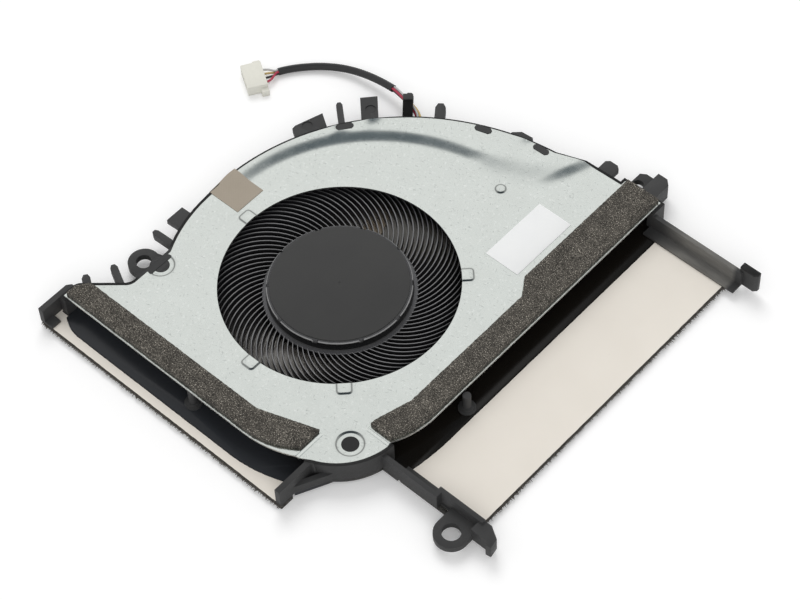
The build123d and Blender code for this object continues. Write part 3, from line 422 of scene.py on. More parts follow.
finishes = {
    "frame": makeFrameFinish(),
    "cover": makeCoverFinish(),
    "cut": makeCutFinish(),
    "foam": makeFoamFinish("coverFoam", (0.022, 0.02, 0.017), (0.086, 0.078, 0.066), (0.54, 0.5, 0.43)),
    "sealFoam": makeFoamFinish("sealFoam", (0.02, 0.019, 0.018), (0.055, 0.052, 0.048), (0.16, 0.155, 0.14)),
    "film": makeFilmFinish(),
    "label": makeLabelFinish(),
    "tape": makeTapeFinish(),
    "blade": makeBladeFinish(),
    "hub": makeHubFinish(),
    "rim": makeRimFinish(),
}

# Name, colour and roughness, then metal, spread of the colour, mm of its patches and shine
plainLooks = {
    "fibre": ("cutFoam", (0.11, 0.1, 0.088), 0.9, 0.0, 0.5, 0.6),
    # Painted shade: the hub's upright wall and its notches are painted darker than the plastic
    "hubWall": ("hubWall", (0.006, 0.006, 0.0065), 0.4),
    # Painted highlight: the bevel round the hub's rim is painted light grey
    "hubBevel": ("hubBevel", (0.25, 0.25, 0.25), 0.3, 0.0, 0.4, 2.5),
    # Painted shade: the cable clip's arm is painted near black, darker than the frame
    "clipArm": ("clipArm", (0.006, 0.006, 0.006), 0.6, 0.0, 0.12, 0.8, 0.08),
    "flange": ("hubFlange", (0.085, 0.085, 0.09), 0.35, 0.0, 0.25, 1.0),
    "red": ("redWire", (0.42, 0.035, 0.075), 0.4),
    "black": ("blackWire", (0.015, 0.015, 0.016), 0.4),
    "yellow": ("yellowWire", (0.55, 0.4, 0.16), 0.4),
    "grey": ("greyWire", (0.5, 0.5, 0.5), 0.4),
    "sleeve": ("blackSleeve", (0.017, 0.017, 0.018), 0.5),
    "ivory": ("ivoryHousing", (0.75, 0.74, 0.665), 0.4, 0.0, 0.05),
    "tin": ("tinnedBrass", (0.72, 0.69, 0.6), 0.3, 1.0),
    "copper": ("woundCopper", (0.72, 0.33, 0.17), 0.35, 1.0, 0.2, 0.3),
    "core": ("coreSteel", (0.42, 0.43, 0.45), 0.45, 1.0, 0.15, 0.3),
    "board": ("flexBoard", (0.36, 0.29, 0.21), 0.25, 0.0, 0.12, 0.8, 1.0),
    "chip": ("chipPlastic", (0.03, 0.03, 0.032), 0.5),
    "brass": ("turnedBrass", (0.72, 0.52, 0.22), 0.3, 1.0),
    "bronze": ("sinteredBronze", (0.42, 0.27, 0.14), 0.6, 1.0, 0.2, 0.15),
    "pad": ("padPlastic", (0.7, 0.68, 0.62), 0.5),
    "magnet": ("bondedMagnet", (0.06, 0.058, 0.056), 0.6),
    "shaft": ("groundSteel", (0.62, 0.62, 0.63), 0.2, 1.0, 0.05),
}
finishes.update({key: makePlainFinish(*look) for key, look in plainLooks.items()})
print("finishes", len(finishes))


# Helpers for pieces

def addPiece(name, data, looks, body, slotName, *standsFor):
    if data.materials:         # clearing an empty list would reset the finish of each face
        data.materials.clear()
    for look in looks:
        data.materials.append(finishes[look])
    piece = addObject(name, data)
    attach(piece, body)
    if standsFor:
        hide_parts(*standsFor)
    return piece


def smoothMesh(mesh, sharp=None):
    mesh.polygons.foreach_set("use_smooth", [True] * len(mesh.polygons))
    if sharp:
        mesh.set_sharp_from_angle(angle=math.radians(sharp))
    mesh.update()


def meshFrom(name, vertices, faces, materials=None, sharp=None):
    # Vertices in mm
    mesh = bpy.data.meshes.new(name)
    mesh.from_pydata([tuple(float(part) * mm for part in vertex) for vertex in vertices], [], faces)
    mesh.update()
    if materials is not None:
        mesh.polygons.foreach_set("material_index", materials)
    smoothMesh(mesh, sharp)
    return mesh


def meshOf(item):
    return bpy.data.meshes.new_from_object(item.evaluated_get(bpy.context.evaluated_depsgraph_get()))


@contextmanager
def editing(mesh, sharp=None, result=None):
    # Edits a mesh, or puts what comes of it into another one
    work = bmesh.new()
    work.from_mesh(mesh)
    yield work
    work.to_mesh(result or mesh)
    work.free()
    smoothMesh(result or mesh, sharp)


def roundEdges(work, edges, width, steps):
    bmesh.ops.bevel(
        work, geom=edges, offset=width * mm, segments=steps, profile=0.5, affect="EDGES", clamp_overlap=True
    )


def roundedCopy(name, node, width, shortest=3.0):
    # A copy of a CAD node with its longer sharp edges rounded off; width in mm
    mesh = bpy.data.meshes.new(name)
    with editing(cadNodes[node].data, 28, mesh) as work:
        bmesh.ops.remove_doubles(work, verts=work.verts, dist=1e-6)
        bmesh.ops.dissolve_limit(work, angle_limit=math.radians(0.3), verts=work.verts, edges=work.edges)
        least = shortest * width * mm
        short = {vertex for edge in work.edges if edge.calc_length() < least for vertex in edge.verts}
        sharp = [
            edge for edge in work.edges
            if len(edge.link_faces) == 2 and edge.calc_face_angle() >= math.radians(35)
        ]
        roundEdges(work, [edge for edge in sharp if short.isdisjoint(edge.verts)], width, 2)
    return mesh


def heading(angle):
    # X and Y of a direction, from degrees
    return math.cos(math.radians(angle)), math.sin(math.radians(angle))


def around(radius, angle):
    cosine, sine = heading(angle)
    return Vector((radius * cosine, radius * sine, 0))


def turnOf(x, y):
    # Degrees round the rotor axis from -X, clockwise seen from above
    return (180 - np.degrees(np.arctan2(y, x))) % 360


def smoothStep(value):
    value = np.clip(value, 0, 1)
    return value * value * (3 - 2 * value)


def boxOf(node):
    return [Vector(corner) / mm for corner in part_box(node)]


def planEdges(node, spacing):
    # The outline and holes of a flat CAD node seen from above, in mm, cut into short pieces
    work = bmesh.new()
    work.from_mesh(cadNodes[node].data)
    bmesh.ops.delete(work, geom=[face for face in work.faces if face.normal.z < 0.3], context="FACES")
    for vertex in work.verts:
        vertex.co.z = 0
    bmesh.ops.remove_doubles(work, verts=work.verts, dist=2e-6)
    edges = []
    for edge in work.edges:
        if len(edge.link_faces) % 2 == 0:
            continue
        start, end = (np.array(vertex.co.xy) / mm for vertex in edge.verts)
        count = max(1, math.ceil(np.linalg.norm(end - start) / spacing))
        marks = [start + (end - start) * step / count for step in range(count + 1)]
        edges += list(zip(marks, marks[1:]))
    work.free()
    return edges


def insidePlan(points, edges):
    inside = np.zeros(len(points), bool)
    x, y = points[:, 0], points[:, 1]
    for start, end in edges:
        run = end[1] - start[1]
        if run == 0:
            continue
        across = (start[1] > y) != (end[1] > y)
        inside ^= across & (x < (end[0] - start[0]) * (y - start[1]) / run + start[0])
    return inside


def hexGrid(low, high, spacing):
    rows = np.arange(low[1], high[1], spacing * math.sqrt(3) / 2)
    columns = np.arange(low[0], high[0], spacing)
    x, y = np.meshgrid(columns, rows)
    x = x + (np.arange(len(rows)) % 2)[:, None] * spacing / 2
    return np.column_stack([x.ravel(), y.ravel()])


def fillPlan(edges, points, clear):
    # Triangles over the plan, with its rim edges and each point's distance from the rim
    tree = KDTree(len(edges))
    for index, (start, end) in enumerate(edges):
        middle = (start + end) / 2
        tree.insert((*middle, 0), index)
    tree.balance()

    def rimGap(point):
        return tree.find((*point, 0))[2]

    kept = [Vector(point) for point in points[insidePlan(points, edges)] if rimGap(point) > clear]
    places = {}
    links = []
    for edge in edges:
        keys = [(round(end[0], 4), round(end[1], 4)) for end in edge]
        ends = tuple(places.setdefault(key, len(places)) for key in keys)
        if ends[0] != ends[1]:
            links.append(ends)
    corners = [Vector(key) for key in places]
    found, _, faces, _, _, _ = delaunay_2d_cdt(corners + kept, links, [], 1, 1e-5)
    plan = np.array([tuple(point) for point in found])
    faces = np.array([tuple(face) for face in faces])
    faces = faces[insidePlan(plan[faces].mean(axis=1), edges)]
    used = dict.fromkeys((face[side], face[(side + 1) % 3]) for face in faces for side in range(3))
    rim = [pair for pair in used if pair[::-1] not in used]
    return plan, faces, rim, np.array([rimGap(point) for point in plan])


def closeSheet(name, plan, faces, rim, top, bottom, rows=1, sharp=40, shift=None):
    # A closed body between two height fields, with rows of faces round its rim
    count = len(plan)
    vertices = [(*point, height) for heights in (top, bottom) for point, height in zip(plan, heights)]
    quads = [*faces, *(faces[:, ::-1] + count)]
    materials = [0] * len(quads)
    ladder = {}
    for start in {index for pair in rim for index in pair}:
        ladder[start] = [start, *range(len(vertices), len(vertices) + rows - 1), start + count]
        for row in range(1, rows):
            share = row / rows
            vertices.append((*plan[start], top[start] * (1 - share) + bottom[start] * share))
    for start, end in rim:
        for row in range(rows):
            quads.append((ladder[start][row + 1], ladder[end][row + 1], ladder[end][row], ladder[start][row]))
            materials.append(1)
    if shift:
        vertices = [shift(Vector(vertex)) for vertex in vertices]
    quads = [tuple(int(index) for index in quad) for quad in quads]
    return meshFrom(name, vertices, quads, materials, sharp)


def turned(name, profile, segments, lift=None, finishAt=None):
    # A closed profile of (radius, height) in mm turned round the rotor axis
    vertices = []
    faces = []
    materials = []
    size = len(profile)
    for step in range(segments):
        angle = math.degrees(2 * math.pi * step / segments)
        cosine, sine = heading(angle)
        here = step * size
        after = (step + 1) % segments * size
        for index, (radius, height) in enumerate(profile):
            if lift:
                height = lift(angle, index, height)
            vertices.append((radius * cosine, radius * sine, height))
            following = (index + 1) % size
            faces.append((here + index, after + index, after + following, here + following))
            materials.append(finishAt(angle, index) if finishAt else 0)
    mesh = meshFrom(name, vertices, faces, materials)
    with editing(mesh, 30) as work:
        bmesh.ops.remove_doubles(work, verts=work.verts, dist=1e-7)
        bmesh.ops.dissolve_degenerate(work, edges=work.edges, dist=1e-8)
        bmesh.ops.recalc_face_normals(work, faces=work.faces)
    return mesh


# Stamped cover

coverForm = {
    "level": 6.5,                # mm, top of the low middle
    "thickness": 0.4,
    "rimRise": 0.55,
    "rimLine": (33.5, 0.076, 0.00033),   # radius of the slope's middle, by degrees of turn from -X
    "rimParting": (91, 0.0228),  # degrees of turn where the rim's line swings out, and how fast
    "rimStart": (1.5, 5.5),      # Y under the tape where the rim begins and where it is full
    "rimEnd": (17.05, 52.0, 0.28),       # a point on the rim's end, and its slant
    "rimEndWidth": 4.2,
    "rimTurn": 140,              # degrees of turn that the rim stays within
    "slopeWidth": 4.2,
    "slopeWidening": (88, 0.5),  # degrees of turn where it begins, mm per degree
    "edgeLine": (36.0, 0.052, 0.00135),  # radius of the sheet's outer edge, by degrees of turn
    "edgeLifts": [               # turn, half width and rise of the edge beside each clip
        (47.5, 3.0, 0.32),
        (56.6, 3.0, 0.32),
        (94.6, 2.2, 0.2),
    ],
    "edgeLiftWidth": 3.2,
    "padRise": 0.4,
    "padSlope": 0.5,
    # Along and across the pads' inner edges: Y and X of the side pad, X and Y of the front one
    "sidePad": [(-80, 28.2), (-21.2, 28.2), (-12.5, 30.6), (20.8, 30.6), (25, 27.8), (80, 27.8)],
    "sidePadEnd": -22.9,
    "frontPad": [(-80, -33.3), (9.25, -33.3), (20.6, -29.4), (22.8, -28.9), (80, -28.9)],
    "frontPadEnd": 22.8,
    "inletRadius": 25.0,
    "tabAngles": (45, 180, 270, 315),
    "tabSize": (2.6, 1.7, 0.9),  # length out from the inlet, half width and corner
    "tabRise": 0.13,
    "rounds": [                  # centre, radius and rise of the dimple and of two dishes round stakes
        ((9.0, 39.8), 1.3, 0.16),
        ((28.2, -27.25), 3.0, -0.15),
        ((-30.9, -20.6), 3.0, -0.15),
    ],
    "stampEdge": 0.42,           # width of the step round tabs, dimple and dishes
    # Width of the painted shade line along the stamped steps
    "creaseShadeWidth": 0.18,
    "unevenness": 0.012,
    "unevenSize": 14,
}

coverGrid = {
    "sizes": (1.1, 0.5, 0.13),   # mm between points
    "slopes": (0.012, 0.26),     # steepness at which the next size takes over
    "reach": 0.06,               # mm either way over which the steepness is taken
    "edge": 0.6,                 # mm between points along the sheet's edges
    "edgeClear": 0.12,
    "along": 0.14,               # mm between points along a step
    "stampRows": (-0.5, 0.2, 0.1),       # from, to and spacing of the rows across a stamping's step
    "stampClear": (0.2, 0.45),   # inside the outline, and how far the grid keeps from there
    "padRows": (-0.12, 0.65, 0.08),
    "padRowEnds": (60, 40, -45, -42),    # past the sheet's edges
    "padClear": 0.25,
}


def slotDistance(along, across, length, halfWidth, corner):
    # Signed distance to a rectangle with rounded corners
    dx = np.abs(along) - (length - corner)
    dy = np.abs(across) - (halfWidth - corner)
    outside = np.hypot(np.maximum(dx, 0), np.maximum(dy, 0))
    return outside + np.minimum(np.maximum(dx, dy), 0) - corner


def slotLoop(length, halfWidth, corner):
    # Points round a rectangle with rounded corners
    bends = []
    for sideX, sideY, start in ((1, 1, 0), (-1, 1, 90), (-1, -1, 180), (1, -1, 270)):
        middle = Vector((sideX * (length - corner), sideY * (halfWidth - corner)))
        bends += [middle + around(corner, start + 90 * step / 8).xy for step in range(9)]
    spots = []
    for start, end in zip(bends, bends[1:] + bends[:1]):
        count = max(1, round((end - start).length / coverGrid["along"]))
        spots += [start.lerp(end, step / count) for step in range(count)]
    return np.array(spots)


def stampings(x, y):
    # Signed distance from the outline and height of each small stamped form
    form = coverForm
    found = []
    for angle in form["tabAngles"]:
        cosine, sine = heading(angle)
        along = x * cosine + y * sine - form["inletRadius"]
        found.append((slotDistance(along, y * cosine - x * sine, *form["tabSize"]), form["tabRise"]))
    for (middleX, middleY), radius, rise in form["rounds"]:
        found.append((np.hypot(x - middleX, y - middleY) - radius, rise))
    return found


def stampingLoops():
    # Points in rows along the outline of each small stamped form
    form = coverForm
    rows = []
    for offset in np.arange(*coverGrid["stampRows"]):
        loop = slotLoop(*(size + offset for size in form["tabSize"]))
        along = loop[:, 0] + form["inletRadius"]
        side = loop[:, 1]
        for angle in form["tabAngles"]:
            cosine, sine = heading(angle)
            rows.append(np.column_stack([along * cosine - side * sine, along * sine + side * cosine]))
        for centre, radius, _ in form["rounds"]:
            count = round(2 * math.pi * (radius + offset) / coverGrid["along"])
            turn = np.arange(count) * 2 * math.pi / count
            rows.append(np.column_stack([np.cos(turn), np.sin(turn)]) * (radius + offset) + np.array(centre))
    return np.vstack(rows)


def padLine(name, along):
    # Where a pad's inner edge lies, by the place along it
    return np.interp(along, *zip(*coverForm[name]))


def padDepths(x, y):
    # How far inside the sloped side and the end of each pad a place is
    return (
        (x - padLine("sidePad", y), y - coverForm["sidePadEnd"]),
        (padLine("frontPad", x) - y, coverForm["frontPadEnd"] - x),
    )


def nearPadStep(x, y):
    # Where the rows along a pad's step take the place of the grid
    half = coverForm["padSlope"] / 2
    clear = coverGrid["padClear"]
    near = np.zeros(len(x), bool)
    for depths in padDepths(x, y):
        for across, along in (depths, depths[::-1]):
            near |= (np.abs(across - half) < half + clear) & (along > -clear)
    return near


def padRows():
    # Points in rows along the step of each pad
    sideEnd, frontEnd = coverForm["sidePadEnd"], coverForm["frontPadEnd"]
    back, right, left, front = coverGrid["padRowEnds"]
    spacing = coverGrid["along"]
    sideY = np.arange(sideEnd, back, spacing)
    sideX = np.arange(padLine("sidePad", sideEnd), right, spacing)
    frontX = np.arange(frontEnd, left, -spacing)
    frontY = np.arange(padLine("frontPad", frontEnd), front, -spacing)
    rows = []
    for offset in np.arange(*coverGrid["padRows"]):
        rows.append((padLine("sidePad", sideY) + offset, sideY))
        rows.append((sideX, np.full(len(sideX), sideEnd + offset)))
        rows.append((frontX, padLine("frontPad", frontX) - offset))
        rows.append((np.full(len(frontY), frontEnd - offset), frontY))
    return np.vstack([np.column_stack(row) for row in rows])


def byTurn(line, turn):
    # A radius that grows with the degrees of turn
    return line[0] + line[1] * turn + line[2] * turn**2


def coverHeight(x, y):
    # Height of the sheet above its low middle
    form = coverForm
    turn = turnOf(x, y)
    radius = np.hypot(x, y)
    swing = np.maximum(turn - form["rimParting"][0], 0)
    middle = byTurn(form["rimLine"], turn) + form["rimParting"][1] * swing**2
    width = form["slopeWidth"] + np.maximum(turn - form["slopeWidening"][0], 0) * form["slopeWidening"][1]
    rim = smoothStep((radius - middle) / width + 0.5)
    startY, fullY = form["rimStart"]
    rim = rim * smoothStep((y - startY) / (fullY - startY))
    endX, endY, slant = form["rimEnd"]
    rim = rim * smoothStep((endX + slant * (y - endY) - x) / form["rimEndWidth"] + 0.5)
    height = form["rimRise"] * rim * (turn < form["rimTurn"])
    for across, end in padDepths(x, y):
        pad = smoothStep(across / form["padSlope"]) * smoothStep(end / form["padSlope"])
        height = np.maximum(height, form["padRise"] * pad)
    outward = radius - byTurn(form["edgeLine"], turn)
    lift = np.clip(outward / form["edgeLiftWidth"] + 1, 0, 1) ** 2
    for middle, half, rise in form["edgeLifts"]:
        height = height + rise * lift * np.exp(-((turn - middle) / half) ** 2)
    for gap, rise in stampings(x, y):
        height = height + rise * smoothStep(-gap / form["stampEdge"])
    return height


def stampGap(x, y, inside):
    # Distance to the nearest line this far inside a stamped form's outline
    return np.min([np.abs(gap + inside) for gap, _ in stampings(x, y)], axis=0)


def coverPoints(low, high):
    # Rows along every step, and a grid that is finer where the sheet is steeper
    chosen = [stampingLoops(), padRows()]
    reach = coverGrid["reach"]
    inside, clear = coverGrid["stampClear"]
    limits = (0, *coverGrid["slopes"], math.inf)
    for least, most, spacing in zip(limits, limits[1:], coverGrid["sizes"]):
        points = hexGrid(low, high, spacing)
        x, y = points.T
        slope = np.hypot(
            coverHeight(x + reach, y) - coverHeight(x - reach, y),
            coverHeight(x, y + reach) - coverHeight(x, y - reach),
        ) / (2 * reach)
        free = (stampGap(x, y, inside) > clear) & ~nearPadStep(x, y)
        chosen.append(points[(slope >= least) & (slope < most) & free])
    return np.vstack(chosen)


def makeCover():
    form = coverForm
    edges = planEdges("top_cover", coverGrid["edge"])
    ends = np.array([end for edge in edges for end in edge])
    points = coverPoints(ends.min(axis=0), ends.max(axis=0))
    plan, faces, rim, _ = fillPlan(edges, points, coverGrid["edgeClear"])
    uneven = np.array([noise.noise(Vector((*point, 0)) / form["unevenSize"]) for point in plan])
    top = form["level"] + coverHeight(*plan.T) + form["unevenness"] * uneven
    mesh = closeSheet("topCover", plan, faces, rim, top, top - form["thickness"])
    # The painted shade line along each stamped step is kept in a point attribute
    creaseShade = np.zeros(len(mesh.vertices))
    creaseShade[:len(plan)] = np.exp(-(stampGap(*plan.T, form["stampEdge"] / 2) / form["creaseShadeWidth"]) ** 2)
    mesh.attributes.new("creaseShade", "FLOAT", "POINT").data.foreach_set("value", creaseShade)
    addPiece("topCover", mesh, ["cover", "cut"], "frame", "cover_steel", "top_cover")
    print("cover", len(mesh.polygons))


# Moulded frame

frameForm = {
    "round": 0.12,              # mm, of the moulded edges
    "postTurns": (61.5, 64.6),  # degrees of turn of the round post beyond the cable clip
    "postStart": 53.5,          # mm from the axis
    "postFoot": 4.0,            # what is higher than this comes down
    "postDrop": 1.65,
    "lipHeights": (6.3, 6.6),
    "lipReach": (0.3, 1.0),     # mm beyond the sheet's edge
    "lipTurn": 110,             # degrees of turn where the raised lip ends
    "lipRaise": 0.22,
}

clipForm = {
    "turn": 64,                 # degrees round the volute wall
    "radius": 45.3,             # mm from here on
    "root": (1.3, 0.2),         # along the wall and outwards
    "neck": (-0.22, 6.0),
    "tip": (-0.62, 7.6),
    "width": 2.2,
    "low": 4.9,
    "armTop": 5.5,
    "capTop": 5.75,
    "round": 0.15,
}


def makeClipRoof(name, start, end, top, look):
    # The clip's arm goes on over the wires
    form = clipForm
    angle = 180 - form["turn"]
    start, end = (
        around(form["radius"] + outward, angle) + around(along, angle - 90) for along, outward in (start, end)
    )
    run = end - start
    middle = (start + end) / 2
    middle.z = (form["low"] + top) / 2
    size = Vector((run.length, form["width"], top - form["low"]))
    mesh = bpy.data.meshes.new(name)
    with editing(mesh, 40) as work:
        matrix = Matrix.LocRotScale(middle * mm, run.to_track_quat("X", "Z"), size * mm)
        bmesh.ops.create_cube(work, size=1, matrix=matrix)
        roundEdges(work, work.edges, form["round"], 3)
    addPiece(name, mesh, [look], "frame", "frame_plastic")


def makeFrame():
    form = frameForm
    mesh = roundedCopy("mouldedFrame", "base_frame", form["round"])
    postFrom, postTo = form["postTurns"]
    lipLow, lipHigh = form["lipHeights"]
    lipFrom, lipTo = form["lipReach"]
    for vertex in mesh.vertices:
        x, y, z = vertex.co / mm
        turn = turnOf(x, y)
        radius = math.hypot(x, y)
        beyond = radius - byTurn(coverForm["edgeLine"], turn)
        if postFrom < turn < postTo and radius > form["postStart"] and z > form["postFoot"]:
            vertex.co.z -= form["postDrop"] * mm
        elif lipLow < z < lipHigh and lipFrom < beyond < lipTo and turn < form["lipTurn"]:
            vertex.co.z += form["lipRaise"] * mm
    smoothMesh(mesh, 28)
    addPiece("mouldedFrame", mesh, ["frame"], "frame", "frame_plastic", "base_frame")
    clip = clipForm
    # The arm is painted dark as painted shade; the cap keeps the frame's finish
    makeClipRoof("clipRoof", clip["root"], clip["neck"], clip["armTop"], "clipArm")
    makeClipRoof("clipCap", clip["neck"], clip["tip"], clip["capTop"], "frame")
    print("frame", len(mesh.polygons))


# Foam strips and seals

foamForm = {
    "spacing": 0.3,
    "roundOff": 0.28,          # mm lost at the top edge
    "roundWidth": 0.45,
    "roughness": 0.09,
    "grain": 0.5,
    "stuckFoot": 0.05,         # mm at the bottom that stay plain
    "rows": 4,                 # of faces up the sides
    "fill": 0.9,
    "edgeClear": 0.18,         # mm between the edge and the grid
    "strips": [                # piece, CAD node, finish, roughness, way the cut side looks, mm drawn in there
        ("sideCoverFoam", "side_cover_foam", "foam", 1.0, (1, 0), 0.35),
        ("frontCoverFoam", "front_cover_foam", "foam", 1.0, (0, -1), 0.35),
        ("sideSealFoam", "side_seal_foam", "sealFoam", 0.4, (1, 0), 0.0),
        ("frontSealFoam", "front_seal_foam", "sealFoam", 0.4, (0, -1), 0.0),
    ],
}


def insetRim(plan, rim, amount, side):
    # Moves the side of a strip that has this heading inwards
    push = np.zeros_like(plan)
    for start, end in rim:
        run = plan[end] - plan[start]
        inward = np.array((-run[1], run[0])) / np.linalg.norm(run)
        push[start] += inward
        push[end] += inward
    length = np.linalg.norm(push, axis=1)
    moved = length > 0
    inward = push[moved] / length[moved, None]
    share = np.clip(-inward @ np.array(side), 0, 1)
    plan[moved] += inward * share[:, None] * amount


def makeFoam(name, node, look, rough, side, inset):
    form = foamForm
    low, high = boxOf(node)
    edges = planEdges(node, form["spacing"])
    points = hexGrid(low, high, form["spacing"])
    plan, faces, rim, depth = fillPlan(edges, points, inset + form["edgeClear"])
    insetRim(plan, rim, inset, side)
    drop = form["roundOff"] * (1 - smoothStep(depth / form["roundWidth"])) * rough
    crumbs = form["roughness"] * rough
    top = high.z - drop - crumbs

    def crumble(vertex):
        if vertex.z < low.z + form["stuckFoot"]:
            return vertex
        return vertex + noise.noise_vector(vertex / form["grain"]) * crumbs

    bottom = np.full(len(plan), low.z)
    mesh = closeSheet(name, plan, faces, rim, top, bottom, form["rows"], None, crumble)
    piece = addPiece(name, mesh, [look] * 2, "frame", "dark_foam", node)
    print(name, len(mesh.polygons))


filmForm = {
    "spacing": 1.2,
    "edgeClear": 0.48,
    "wave": 0.02,
    "waveLength": 6,
    "fray": 0.06,
    "frayLength": 0.7,
    "drawnIn": "side_seal_film",
    "drawStart": -23.0,        # Y from which that film is drawn in, away from the gap in the rail
    "drawShare": 0.63,
}


def makeFilm(name, node):
    form = filmForm
    low, high = boxOf(node)
    edges = planEdges(node, form["spacing"] / 2)
    plan, faces, rim, _ = fillPlan(edges, hexGrid(low, high, form["spacing"]), form["edgeClear"])
    wave = np.array([noise.noise(Vector((*point, 3)) / form["waveLength"]) for point in plan])
    top = high.z - form["wave"] * (1 - wave)

    def frayed(vertex):
        ragged = noise.noise_vector(Vector((vertex.x, vertex.y, 0)) / form["frayLength"]) * form["fray"]
        if node == form["drawnIn"] and vertex.y < form["drawStart"]:
            vertex.y = form["drawStart"] + (vertex.y - form["drawStart"]) * form["drawShare"]
        return vertex + Vector((ragged.x, ragged.y, 0))

    mesh = closeSheet(name, plan, faces, rim, top, np.full(len(plan), low.z), shift=frayed)
    addPiece(name, mesh, ["film"] * 2, "frame", "pale_film", node)
    print(name, len(mesh.polygons))


# Helpers for Geometry Nodes

def startTree(name, values):
    # Gives a node tree with a named input for each value, those inputs and two helpers for sums
    tree = bpy.data.node_groups.new(name, "GeometryNodeTree")
    for side in ("OUTPUT", "INPUT"):
        tree.interface.new_socket("Geometry", in_out=side, socket_type="NodeSocketGeometry")
    for key, value in values.items():
        kind = "NodeSocketInt" if isinstance(value, int) else "NodeSocketFloat"
        tree.interface.new_socket(key, in_out="INPUT", socket_type=kind)
    sizes = addNode(tree, "NodeGroupInput").outputs

    def calc(operation, first, second=0.0):
        return sums(tree, operation, first, second)

    def metres(key):
        return calc("MULTIPLY", sizes[key], mm)

    return tree, sizes, calc, metres


def endTree(tree, look, points, shape, turn, **more):
    # Copies of a shape on points, made real
    inputs = {"Points": points, "Instance": shape, "Rotation": turn, **more}
    copies = addNode(tree, "GeometryNodeInstanceOnPoints", inputs)
    real = addNode(tree, "GeometryNodeRealizeInstances", {"Geometry": copies.outputs["Instances"]})
    inputs = {"Geometry": real.outputs["Geometry"], "Material": finishes[look]}
    dressed = addNode(tree, "GeometryNodeSetMaterial", inputs)
    addNode(tree, "NodeGroupOutput", {"Geometry": dressed.outputs["Geometry"]})
    return tree


def growMesh(name, tree, values, line=None):
    # Runs a node tree once and keeps the result as a plain mesh
    holder = addObject(name, line or bpy.data.meshes.new(name))
    modifier = holder.modifiers.new(name, "NODES")
    modifier.node_group = tree
    for socket in tree.interface.items_tree:
        if socket.in_out == "INPUT" and socket.name in values:
            modifier[socket.identifier] = values[socket.name]
    mesh = meshOf(holder)
    holder.modifiers.clear()
    bpy.data.objects.remove(holder)
    smoothMesh(mesh, 50)
    return mesh


# Fibres along the cut edge of the seals

fringeForm = {
    "Count": 1500,
    "Length": 0.7,             # mm
    "Shortest": 0.35,          # share of that length
    "Longest": 1.2,
    "Thickness": 0.16,
    "Scatter": 0.12,
    "Spread": 60.0,            # degrees
    "Droop": 25.0,
    "Start": 0.45,             # mm, foot of the cut face
    "Height": 0.95,
    "Heading": -90.0,          # degrees about Z, the way the face looks
    "Seed": 7,
}


def fringeTree():
    tree, sizes, calc, metres = startTree("foamFringe", fringeForm)

    def chance(low, high, offset):
        inputs = {2: low, 3: high, "Seed": calc("ADD", sizes["Seed"], offset)}
        return addNode(tree, "FunctionNodeRandomValue", inputs, data_type="FLOAT").outputs[1]

    def eitherWay(value, offset):
        return chance(calc("MULTIPLY", value, -1), value, offset)

    curve = addNode(tree, "GeometryNodeMeshToCurve", {"Mesh": sizes["Geometry"]}).outputs["Curve"]
    inputs = {"Curve": curve, "Count": sizes["Count"]}
    points = addNode(tree, "GeometryNodeCurveToPoints", inputs, mode="COUNT").outputs["Points"]
    start = metres("Start")
    shift = addNode(tree, "ShaderNodeCombineXYZ", {
        "X": eitherWay(metres("Scatter"), 1),
        "Y": eitherWay(metres("Scatter"), 2),
        "Z": chance(start, calc("ADD", start, metres("Height")), 3),
    })
    inputs = {"Geometry": points, "Offset": shift.outputs[0]}
    places = addNode(tree, "GeometryNodeSetPosition", inputs).outputs["Geometry"]
    fibre = addNode(tree, "GeometryNodeMeshCone", {
        "Vertices": 4,
        "Radius Bottom": calc("DIVIDE", metres("Thickness"), 2),
        "Radius Top": calc("DIVIDE", metres("Thickness"), 6),
        "Depth": metres("Length"),
    })
    droop, spread, facing = (calc("RADIANS", sizes[key]) for key in ("Droop", "Spread", "Heading"))
    turn = addNode(tree, "ShaderNodeCombineXYZ", {
        "Y": calc("ADD", eitherWay(droop, 4), math.pi / 2),
        "Z": calc("ADD", eitherWay(spread, 5), facing),
    })
    size = chance(sizes["Shortest"], sizes["Longest"], 6)
    return endTree(tree, "fibre", places, fibre.outputs["Mesh"], turn.outputs[0], Scale=size)


def makeFringe(tree, name, node, axis, limit, facing, seed):
    # Along the straight edge of a film that lies near the limit on the axis
    near = 0.3
    spacing = 4.0
    vertices = []
    links = []
    for edge in planEdges(node, spacing):
        if max(abs(end[axis] - limit) for end in edge) < near:
            links.append((len(vertices), len(vertices) + 1))
            vertices += [(*end * mm, 0) for end in edge]
    line = bpy.data.meshes.new(name)
    line.from_pydata(vertices, links, [])
    with editing(line) as work:
        bmesh.ops.remove_doubles(work, verts=work.verts, dist=1e-6)
    fringe = growMesh(name, tree, {**fringeForm, "Heading": facing, "Seed": seed}, line)
    addPiece(name, fringe, ["fibre"], "frame", "dark_foam")
    print(name, len(fringe.polygons))


def makeFringes():
    tree = fringeTree()
    frontEdge = boxOf("front_seal_film")[0].y
    sideEdge = boxOf("side_seal_film")[1].x
    makeFringe(tree, "frontFringe", "front_seal_film", 1, frontEdge, -90.0, 7)
    makeFringe(tree, "sideFringe", "side_seal_film", 0, sideEdge, 0.0, 11)


# Sticker and tape

stickerForm = {
    "labelRound": 0.04,        # mm
    "tapeRound": 0.05,
    "tapeEdge": 0.6,           # longest edge of the tape's mesh
    "tapeFold": 6.3,           # what is higher than this lies on the cover
}


